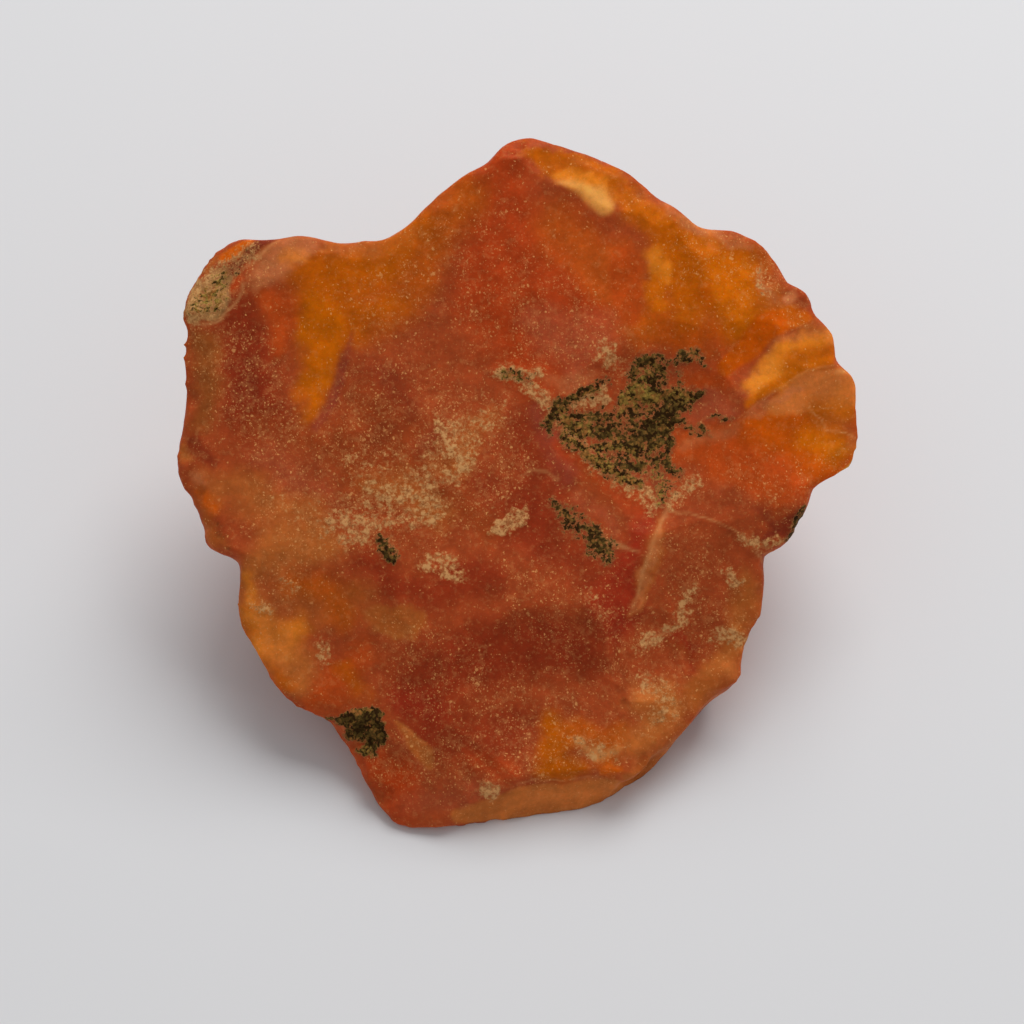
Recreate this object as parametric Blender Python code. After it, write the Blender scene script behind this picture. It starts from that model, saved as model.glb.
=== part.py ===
"""A rough lump of orange-red chalcedony, broken out of its rock and resting on one flat break.

The lump is one stone.  It is blocked out the way it came about: a blank with the outline of its
broad front break, whose wall draws in towards the back, and then the hollows that flakes left
behind them, each cut from the blank by a block whose underside bulges as the hollow does.

Two frames are used, both in metres.  The break frame lies in the broad front break: s to the
right, t up the break, w out of it.  The stone's own frame is +X right, +Y away, +Z up, with its
origin under the middle of the stone, at the level of the flat break that it rests on.
"""

import math
from typing import NamedTuple

import bmesh
import bpy
from mathutils import Matrix, Vector, noise

MM = 0.001

# Driving dimensions.
BREAK_LEAN = math.radians(30.0)  # the broad break leans back this far from level
REST_DROP = 12.85 * MM  # from the middle of the broad break down to the flat break below
BLANK_PROUD = 1.5 * MM  # how far the blank stands out in front of the break
OUTLINE_STEPS = 2  # points made for each stretch between two outline points
FACET = 1.6 * MM  # the side of a hollow's facets
MERGE_DISTANCE = 0.02 * MM  # points nearer to each other than this are one point
LEAST_FACETS = 5  # from the middle of a hollow to its edge
CALM_REACH = 10.0  # a hollow that reaches less far than this, in millimetres, waves less
SHIFT = 53.0 * MM  # between the waves of one hollow and those of the next
WAVES = ((9.0 * MM, 0.42 * MM), (3.6 * MM, 0.13 * MM))  # lengths and heights of a hollow's waves

# The outline of the broad break, in millimetres of s and t, clockwise from its peak.
OUTLINE = (
    (0.0, 24.9), (1.4, 25.0), (3.4, 24.4), (6.0, 23.4), (8.3, 22.3), (9.5, 21.0),
    (11.1, 20.2), (12.6, 18.95), (14.2, 19.0), (16.4, 18.0), (17.5, 16.5), (19.3, 14.9),
    (20.0, 13.4), (21.2, 12.1), (21.65, 10.2), (22.7, 9.0), (23.05, 6.8), (22.95, 3.9),
    (22.0, 2.4), (20.4, 1.6), (19.75, 0.2), (18.8, -1.4), (18.0, -2.4), (16.9, -2.8),
    (16.9, -4.6), (16.7, -6.9), (15.7, -8.7), (15.4, -10.4), (14.4, -12.0), (13.0, -13.1),
    (12.0, -14.1), (11.0, -15.3), (10.4, -16.8), (8.8, -18.6), (6.0, -19.9), (2.0, -20.7),
    (-2.0, -21.1), (-5.0, -21.2), (-7.2, -21.3), (-8.3, -20.7), (-9.3, -19.2), (-10.3, -17.4),
    (-11.2, -15.6), (-12.0, -14.1), (-13.6, -13.9), (-15.4, -12.4), (-16.6, -10.8), (-17.5, -8.9),
    (-18.3, -7.2), (-18.3, -5.2), (-18.2, -3.4), (-20.2, -2.8), (-20.6, -1.4), (-21.3, 0.3),
    (-22.3, 2.2), (-22.4, 4.0), (-21.9, 6.5), (-22.0, 9.0), (-22.1, 10.8), (-21.9, 12.0),
    (-22.3, 13.3), (-21.7, 15.2), (-20.6, 16.8), (-19.2, 18.0), (-17.5, 18.45), (-16.0, 18.25),
    (-13.7, 18.6), (-11.2, 17.95), (-9.7, 18.25), (-8.3, 18.1), (-6.5, 19.35),
    (-5.8, 20.3), (-4.6, 21.5), (-3.2, 22.6), (-1.4, 23.5), (-0.8, 24.4),
)
WALL_CENTRE = (0.5, -1.0)  # the wall draws in towards this point, in millimetres of s and t
# The blank's wall: how far behind the break, in millimetres, the outline's scale there, and how
# many times the outline has been smoothed, so that its nicks fade out below the rim.
WALL = (
    (0.9, 1.0, 0), (2.2, 1.0, 2), (3.6, 0.988, 12), (5.5, 0.96, 24), (9.0, 0.90, 24),
    (14.0, 0.80, 24), (20.0, 0.66, 24), (27.0, 0.50, 24),
)


class Hollow(NamedTuple):
    """The hollow that a flake left: its deepest point, the way it faces, and how it curves."""

    name: str
    place: tuple  # the deepest point, in millimetres
    facing: tuple  # the way out of the hollow
    radius: float  # of its curve, in millimetres
    reach: float  # the half width that is cut, in millimetres
    stretch: float = 1.0  # its length over its width
    turn: float = 0.0  # of its length from +X, in degrees


# Hollows of the broad break, in its frame.
BREAK_HOLLOWS = (
    Hollow("broad", (-3.0, 6.0, -0.9), (0.0, 0.02, 1.0), 150.0, 38.0, 1.0, 28.0),
    Hollow("left_field", (-14.0, 7.0, -0.95), (-0.05, 0.0, 1.0), 80.0, 16.0, 1.0, 55.0),
    Hollow("crown", (1.5, 16.5, -0.85), (0.0, -0.02, 1.0), 75.0, 15.0, 1.0, 70.0),
    Hollow("shoulder", (14.5, 14.8, -0.7), (0.12, 0.08, 1.0), 40.0, 13.0, 1.0, 35.0),
    Hollow("upper_arm", (18.9, 9.4, -0.8), (0.06, -0.06, 1.0), 9.0, 5.0, 2.2, 32.0),
    Hollow("lower_arm", (19.0, 3.6, -0.5), (0.10, -0.06, 1.0), 40.0, 11.0),
    Hollow("right_flake", (12.8, -7.2, -1.5), (0.13, -0.10, 1.0), 34.0, 12.0, 1.2, 60.0),
    Hollow("lower_field", (2.0, -12.6, -1.1), (0.0, -0.02, 1.0), 16.0, 11.0, 1.3, 8.0),
    Hollow("lower_left", (-12.0, -9.0, -1.4), (-0.08, -0.09, 1.0), 36.0, 12.0, 1.3, -50.0),
    Hollow("toe", (-6.8, -18.2, -1.4), (-0.12, -0.24, 1.0), 26.0, 9.0, 1.2, -60.0),
    Hollow("pocket", (8.3, 4.9, -1.2), (0.02, 0.0, 1.0), 14.0, 8.0, 1.3, -55.0),
    Hollow("pocket_end", (10.0, 8.6, -0.9), (0.0, 0.04, 1.0), 12.0, 5.0, 1.4, 10.0),
    Hollow("corner", (-20.3, 15.8, -1.5), (-0.30, 0.26, 1.0), 13.0, 8.0),
    Hollow("left_nick", (-20.8, -0.8, -1.8), (-0.9, -0.35, 1.0), 12.0, 6.0),
    Hollow("peak", (4.4, 22.6, -0.9), (0.14, 0.34, 1.0), 16.0, 8.0, 1.4, -25.0),
    Hollow("dimple", (12.6, -9.4, -2.1), (0.2, 0.0, 1.0), 5.0, 3.5),
    Hollow("left_pocket", (-10.4, -15.0, -2.3), (-0.4, -0.3, 1.0), 4.0, 3.0),
)

# Hollows of the back and sides, in the stone's frame before it is set down.
BODY_HOLLOWS = (
    Hollow("front_wall", (2.0, -15.3, -11.2), (0.16, -1.0, 0.26), 60.0, 14.0),
    Hollow("front_right", (10.0, -12.7, -9.4), (0.53, -0.85, -0.06), 40.0, 10.0),
    Hollow("left_front", (-13.5, -8.5, -9.5), (-0.80, -0.30, -0.62), 50.0, 12.0),
    Hollow("left_side", (-17.4, 4.5, -5.0), (-0.85, 0.12, -0.55), 48.0, 18.0, 1.2, 20.0),
    Hollow("right_front", (16.6, -4.5, -7.5), (0.94, -0.25, -0.30), 45.0, 14.0, 1.0, 20.0),
    Hollow("right_side", (19.2, 6.5, -2.5), (0.82, 0.12, -0.58), 44.0, 17.0),
    Hollow("back_right", (13.5, 17.0, -2.0), (0.55, 0.80, -0.26), 45.0, 18.0),
    Hollow("back_low", (5.0, 16.5, -9.0), (0.12, 0.85, -0.52), 60.0, 18.0),
    Hollow("back_high", (-4.5, 19.8, 3.0), (-0.16, 1.0, -0.16), 34.0, 15.0),
    Hollow("back_left", (-15.0, 14.0, -2.0), (-0.60, 0.75, -0.36), 55.0, 17.0),
    Hollow("back_chip", (8.5, 20.5, 0.5), (0.20, 0.90, -0.50), 12.0, 8.0, 1.5, 30.0),
    Hollow("left_chip", (-17.5, 10.5, 0.5), (-0.80, 0.50, -0.55), 11.0, 7.0, 1.3, 60.0),
    Hollow("right_chip", (15.0, 0.0, -8.5), (0.85, -0.15, -0.50), 16.0, 8.0, 1.3, -40.0),
    Hollow("heel_chip", (-10.0, 12.0, -11.5), (-0.45, 0.70, -0.60), 14.0, 7.0),
)


def break_frame():
    """The matrix from the break frame to the stone's."""
    return Matrix.Rotation(BREAK_LEAN, 4, "X")


def new_object(name, mesh, collection):
    """A new object of that mesh in that collection."""
    made = bpy.data.objects.new(name, mesh)
    collection.objects.link(made)
    return made


def clear_scene():
    """Removes whatever the scene holds."""
    for old in list(bpy.data.objects):
        bpy.data.objects.remove(old)


def new_collection(name):
    """A new collection in the scene."""
    made = bpy.data.collections.new(name)
    bpy.context.scene.collection.children.link(made)
    return made


def outline_mesh(collection):
    """The outline as a closed smooth curve, turned into a mesh of edges."""
    curve = bpy.data.curves.new("outline", "CURVE")
    curve.dimensions = "2D"
    curve.fill_mode = "NONE"
    curve.resolution_u = OUTLINE_STEPS
    spline = curve.splines.new("BEZIER")
    spline.bezier_points.add(len(OUTLINE) - 1)
    for point, (s, t) in zip(spline.bezier_points, OUTLINE):
        point.co = (s * MM, t * MM, 0.0)
        point.handle_left_type = point.handle_right_type = "AUTO"
    spline.use_cyclic_u = True
    guide = new_object("outline", curve, collection)
    graph = bpy.context.evaluated_depsgraph_get()
    mesh = bpy.data.meshes.new_from_object(guide.evaluated_get(graph))
    bpy.data.objects.remove(guide)
    return mesh


def blank_mesh(outline):
    """The blank: the outline as a face, drawn back in steps that shrink towards the wall's centre."""
    centre = Vector((*WALL_CENTRE, 0.0)) * MM
    bm = bmesh.new()
    bm.from_mesh(outline)
    bmesh.ops.remove_doubles(bm, verts=bm.verts, dist=MERGE_DISTANCE)
    bmesh.ops.translate(bm, verts=bm.verts, vec=(0.0, 0.0, BLANK_PROUD))
    end = bmesh.ops.contextual_create(bm, geom=bm.edges[:])["faces"]
    level, scale = -BLANK_PROUD / MM, 1.0
    for step, (depth, next_scale, rounds) in enumerate(WALL):
        grown = bmesh.ops.extrude_face_region(bm, geom=end)["geom"]
        if step > 0:
            bmesh.ops.delete(bm, geom=end, context="FACES_ONLY")
        verts = [v for v in grown if isinstance(v, bmesh.types.BMVert)]
        end = [f for f in grown if isinstance(f, bmesh.types.BMFace)]
        bmesh.ops.translate(bm, verts=verts, vec=(0.0, 0.0, (level - depth) * MM))
        ratio = next_scale / scale
        shrink = Matrix.Diagonal((ratio, ratio, 1.0, 1.0))
        bmesh.ops.transform(bm, matrix=shrink, space=Matrix.Translation(-centre), verts=verts)
        for _ in range(rounds):
            bmesh.ops.smooth_vert(bm, verts=verts, factor=0.5, use_axis_x=True, use_axis_y=True)
        level, scale = depth, next_scale
    bmesh.ops.triangulate(bm, faces=bm.faces)
    bmesh.ops.recalc_face_normals(bm, faces=bm.faces)
    mesh = bpy.data.meshes.new("blank")
    bm.to_mesh(mesh)
    bm.free()
    mesh.transform(break_frame())
    return mesh


def unevenness(place):
    """How far the surface of a hollow waves up or down at a place."""
    return sum(height * noise.noise(place / length) for length, height in WAVES)


def plug_mesh(hollow, number):
    """A block whose underside bulges down to the origin as the hollow does, a little unevenly."""
    radius, reach = hollow.radius * MM, hollow.reach * MM
    steps = 2 * max(LEAST_FACETS, round(reach / FACET))
    calm = min(1.0, hollow.reach / CALM_REACH)
    shift = Vector((0.0, 0.0, number * SHIFT))
    bm = bmesh.new()
    bmesh.ops.create_grid(bm, x_segments=steps, y_segments=steps, size=reach)
    for vert in bm.verts:
        wave = calm * (unevenness(vert.co + shift) - unevenness(shift))
        vert.co.z = vert.co.xy.length_squared / (2 * radius) + wave
    top = max(vert.co.z for vert in bm.verts) + reach
    rim = [edge for edge in bm.edges if edge.is_boundary]
    grown = bmesh.ops.extrude_edge_only(bm, edges=rim)["geom"]
    for vert in (piece for piece in grown if isinstance(piece, bmesh.types.BMVert)):
        vert.co.z = top
    bmesh.ops.contextual_create(bm, geom=[edge for edge in bm.edges if edge.is_boundary])
    bmesh.ops.triangulate(bm, faces=bm.faces)
    bmesh.ops.scale(bm, vec=(hollow.stretch, 1.0, 1.0), verts=bm.verts)
    bmesh.ops.recalc_face_normals(bm, faces=bm.faces)
    mesh = bpy.data.meshes.new(hollow.name)
    bm.to_mesh(mesh)
    bm.free()
    return mesh


def add_cutter(mesh, frame, collection):
    """A hidden object that cuts the stone."""
    cutter = new_object(mesh.name, mesh, collection)
    cutter.matrix_world = frame
    cutter.hide_render = True
    cutter.display_type = "WIRE"
    return cutter


def plug_frame(hollow):
    """Where a plug stands: its nose at the hollow's deepest point, its axis the way it faces."""
    turn = Matrix.Rotation(math.radians(hollow.turn), 4, "Z")
    face = Vector(hollow.facing).to_track_quat("Z", "Y").to_matrix().to_4x4()
    return Matrix.Translation(Vector(hollow.place) * MM) @ face @ turn


def add_ground_cutter(collection):
    """A slab whose top is the plane of the flat break that the stone rests on."""
    size = 90 * MM
    bm = bmesh.new()
    bmesh.ops.create_cube(bm, size=size)
    bmesh.ops.translate(bm, verts=bm.verts, vec=(0.0, 0.0, -REST_DROP - size / 2))
    mesh = bpy.data.meshes.new("ground")
    bm.to_mesh(mesh)
    bm.free()
    return add_cutter(mesh, Matrix.Identity(4), collection)


def cut(blank, cutters):
    """Cuts every cutter from the blank, and returns the mesh that is left."""
    for cutter in cutters:
        boolean = blank.modifiers.new(cutter.name, "BOOLEAN")
        boolean.operation = "DIFFERENCE"
        boolean.object = cutter
    graph = bpy.context.evaluated_depsgraph_get()
    mesh = bpy.data.meshes.new_from_object(blank.evaluated_get(graph))
    bpy.data.objects.remove(blank)
    return mesh


def finish_surface(mesh):
    """Merges what the cuts left nearly touching and makes the faces triangles."""
    bm = bmesh.new()
    bm.from_mesh(mesh)
    bmesh.ops.dissolve_degenerate(bm, dist=MERGE_DISTANCE, edges=bm.edges)
    bmesh.ops.triangulate(bm, faces=bm.faces)
    bm.to_mesh(mesh)
    bm.free()


def set_down(mesh):
    """Moves the mesh so that its origin is under its middle, on the plane it rests on."""
    xs, ys, zs = zip(*(v.co for v in mesh.vertices))
    low = Vector((min(xs), min(ys), min(zs)))
    high = Vector((max(xs), max(ys), max(zs)))
    middle = (low + high) / 2
    mesh.transform(Matrix.Translation((-middle.x, -middle.y, -low.z)))


def stone_material():
    """Waxy orange-red chalcedony."""
    made = bpy.data.materials.new("orange_chalcedony")
    made.use_nodes = True
    shader = made.node_tree.nodes["Principled BSDF"]
    shader.inputs["Base Color"].default_value = (0.50, 0.10, 0.02, 1.0)
    shader.inputs["Roughness"].default_value = 0.5
    shader.inputs["Metallic"].default_value = 0.0
    return made


def build():
    """Builds the stone."""
    clear_scene()
    parts = new_collection("rough_stone_parts")
    cutters = new_collection("cutters")
    blank = new_object("blank", blank_mesh(outline_mesh(parts)), parts)
    frames = [break_frame()] * len(BREAK_HOLLOWS) + [Matrix.Identity(4)] * len(BODY_HOLLOWS)
    knives = [
        add_cutter(plug_mesh(hollow, number), frame @ plug_frame(hollow), cutters)
        for number, (hollow, frame) in enumerate(zip(BREAK_HOLLOWS + BODY_HOLLOWS, frames))
    ]
    knives.append(add_ground_cutter(cutters))
    mesh = cut(blank, knives)
    finish_surface(mesh)
    set_down(mesh)
    stone = new_object("rough_stone", mesh, parts)
    stone.data.materials.clear()
    stone.data.materials.append(stone_material())
    return stone


build()
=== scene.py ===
"""Looks of a rough lump of carnelian chalcedony: its chipped surface, its colours and its studio."""

import logging
from dataclasses import dataclass, field
from enum import Enum
from math import cos, radians, sin

import bmesh
import bpy
import numpy as np
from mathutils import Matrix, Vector, kdtree, noise


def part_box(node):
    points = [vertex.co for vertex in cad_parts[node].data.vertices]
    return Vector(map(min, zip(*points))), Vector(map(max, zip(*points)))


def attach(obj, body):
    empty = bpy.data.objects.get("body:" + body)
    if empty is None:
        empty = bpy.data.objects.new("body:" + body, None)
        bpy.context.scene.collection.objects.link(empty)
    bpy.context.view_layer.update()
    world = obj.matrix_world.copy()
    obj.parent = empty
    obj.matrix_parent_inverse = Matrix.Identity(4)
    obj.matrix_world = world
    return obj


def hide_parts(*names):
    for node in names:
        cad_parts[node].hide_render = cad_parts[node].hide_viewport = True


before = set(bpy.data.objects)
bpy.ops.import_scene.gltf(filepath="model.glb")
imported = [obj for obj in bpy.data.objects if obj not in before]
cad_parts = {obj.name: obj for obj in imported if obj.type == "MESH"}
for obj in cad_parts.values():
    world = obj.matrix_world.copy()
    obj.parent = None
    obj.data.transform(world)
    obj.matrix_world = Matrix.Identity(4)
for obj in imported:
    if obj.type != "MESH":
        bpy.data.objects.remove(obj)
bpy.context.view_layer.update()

MM = 0.001
STONE_NODE = "rough_stone"
log = logging.getLogger("stone")

Chain = tuple[tuple[float, float, float], ...]
Colour = tuple[float, float, float, float]

# The broad broken face: its middle, and how far it leans back. Across, up and out of it are s, t and w.
BREAK_MIDDLE = Vector((-0.365, -3.218, 12.85)) * MM
BREAK_LEAN = radians(30.0)
BREAK_ACROSS = Vector((1.0, 0.0, 0.0))
BREAK_UP = Vector((0.0, cos(BREAK_LEAN), sin(BREAK_LEAN)))
BREAK_OUT = Vector((0.0, -sin(BREAK_LEAN), cos(BREAK_LEAN)))
BREAK_AWAY = 161.2  # how far in front of the face the camera stands, in mm

# A tone is painted without the light that the waxy surface mirrors, and deepened for what it scatters.
MIRRORED = 0.002
DEEPENED = np.array((1.57, 1.43, 1.12))


class Tone(Enum):
    """The stone's own colours, and a painted glow of light through thin edges, as display red, green and
    blue.
    """

    BRICK = (148, 66, 36)
    RED = (161, 60, 25)
    DEEP_RED = (138, 44, 27)
    DARK_RED = (128, 45, 25)
    LIVER = (114, 42, 26)
    MAROON = (100, 36, 26)
    RED_ORANGE = (170, 70, 25)
    ORANGE = (174, 78, 6)
    DEEP_AMBER = (168, 80, 20)
    AMBER = (168, 84, 6)
    GOLD = (182, 95, 4)
    # Painted glow: light shining through the thin edges, laid into the colour.
    GLOW = (188, 88, 2)
    HONEY = (204, 122, 34)
    PALE_HONEY = (208, 148, 78)
    PEACH = (188, 110, 58)
    TAN = (156, 86, 40)
    ORANGE_TAN = (166, 95, 46)
    OLIVE_BROWN = (128, 72, 34)
    RUSSET = (130, 58, 26)
    UMBER = (96, 54, 28)
    ROSE = (158, 75, 50)
    PLUM = (132, 58, 46)
    HAZE = (174, 104, 68)
    CREAM = (188, 136, 84)
    CRUST_GREY = (148, 114, 76)

    @property
    def linear(self) -> np.ndarray:
        """The tone for the material.

        Returns:
            Linear red, green and blue.
        """
        display = np.array(self.value, float) / 255.0
        light = np.where(display <= 0.04045, display / 12.92, ((display + 0.055) / 1.055) ** 2.4)
        return np.clip((light - MIRRORED) * DEEPENED, 0.0, 1.0)


@dataclass(frozen=True)
class Patch:
    """A soft-edged patch along a chain of discs on the broken face.

    Each point is (s, t, radius) in mm, and neighbours are joined into one tapering stroke.
    """

    tone: Tone
    chain: Chain
    soft: float
    strength: float = 0.9
    crisp: bool = False


@dataclass(frozen=True)
class Cover:
    """A patch of some covering, such as dust, crust or dark mineral, with how thick it lies."""

    chain: Chain
    soft: float
    strength: float = 1.0


@dataclass(frozen=True)
class Cloud:
    """Smooth noise: the size of its lumps in mm, its finer layers, its own shift, and its height."""

    wavelength: float
    octaves: int
    shift: float
    height: float = 1.0

    def at(self, spots: np.ndarray) -> np.ndarray:
        """Its value at each place, of about its height above or below 0, where places are in mm."""
        scaled = (spots / self.wavelength + self.shift).tolist()
        return self.height * np.array([noise.fractal(place, 1.0, 2.0, self.octaves) for place in scaled])


@dataclass(frozen=True)
class Covering:
    """What lies on the stone: strokes on the broken face, and everywhere else where clouds are high.

    The strokes' edges are softened blur times and widened by grow, in mm. Elsewhere it begins where the
    clouds pass the first of its limits, and is as thick as it gets from the second.
    """

    strokes: tuple[Cover, ...]
    clouds: tuple[Cloud, ...]
    limits: tuple[float, float]
    strength: float = 1.0
    blur: float = 1.0
    grow: float = 0.0


# A patch whose edge is softer than this, in mm, bends gently, and the edge of another is torn.
GENTLE = 0.9

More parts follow.
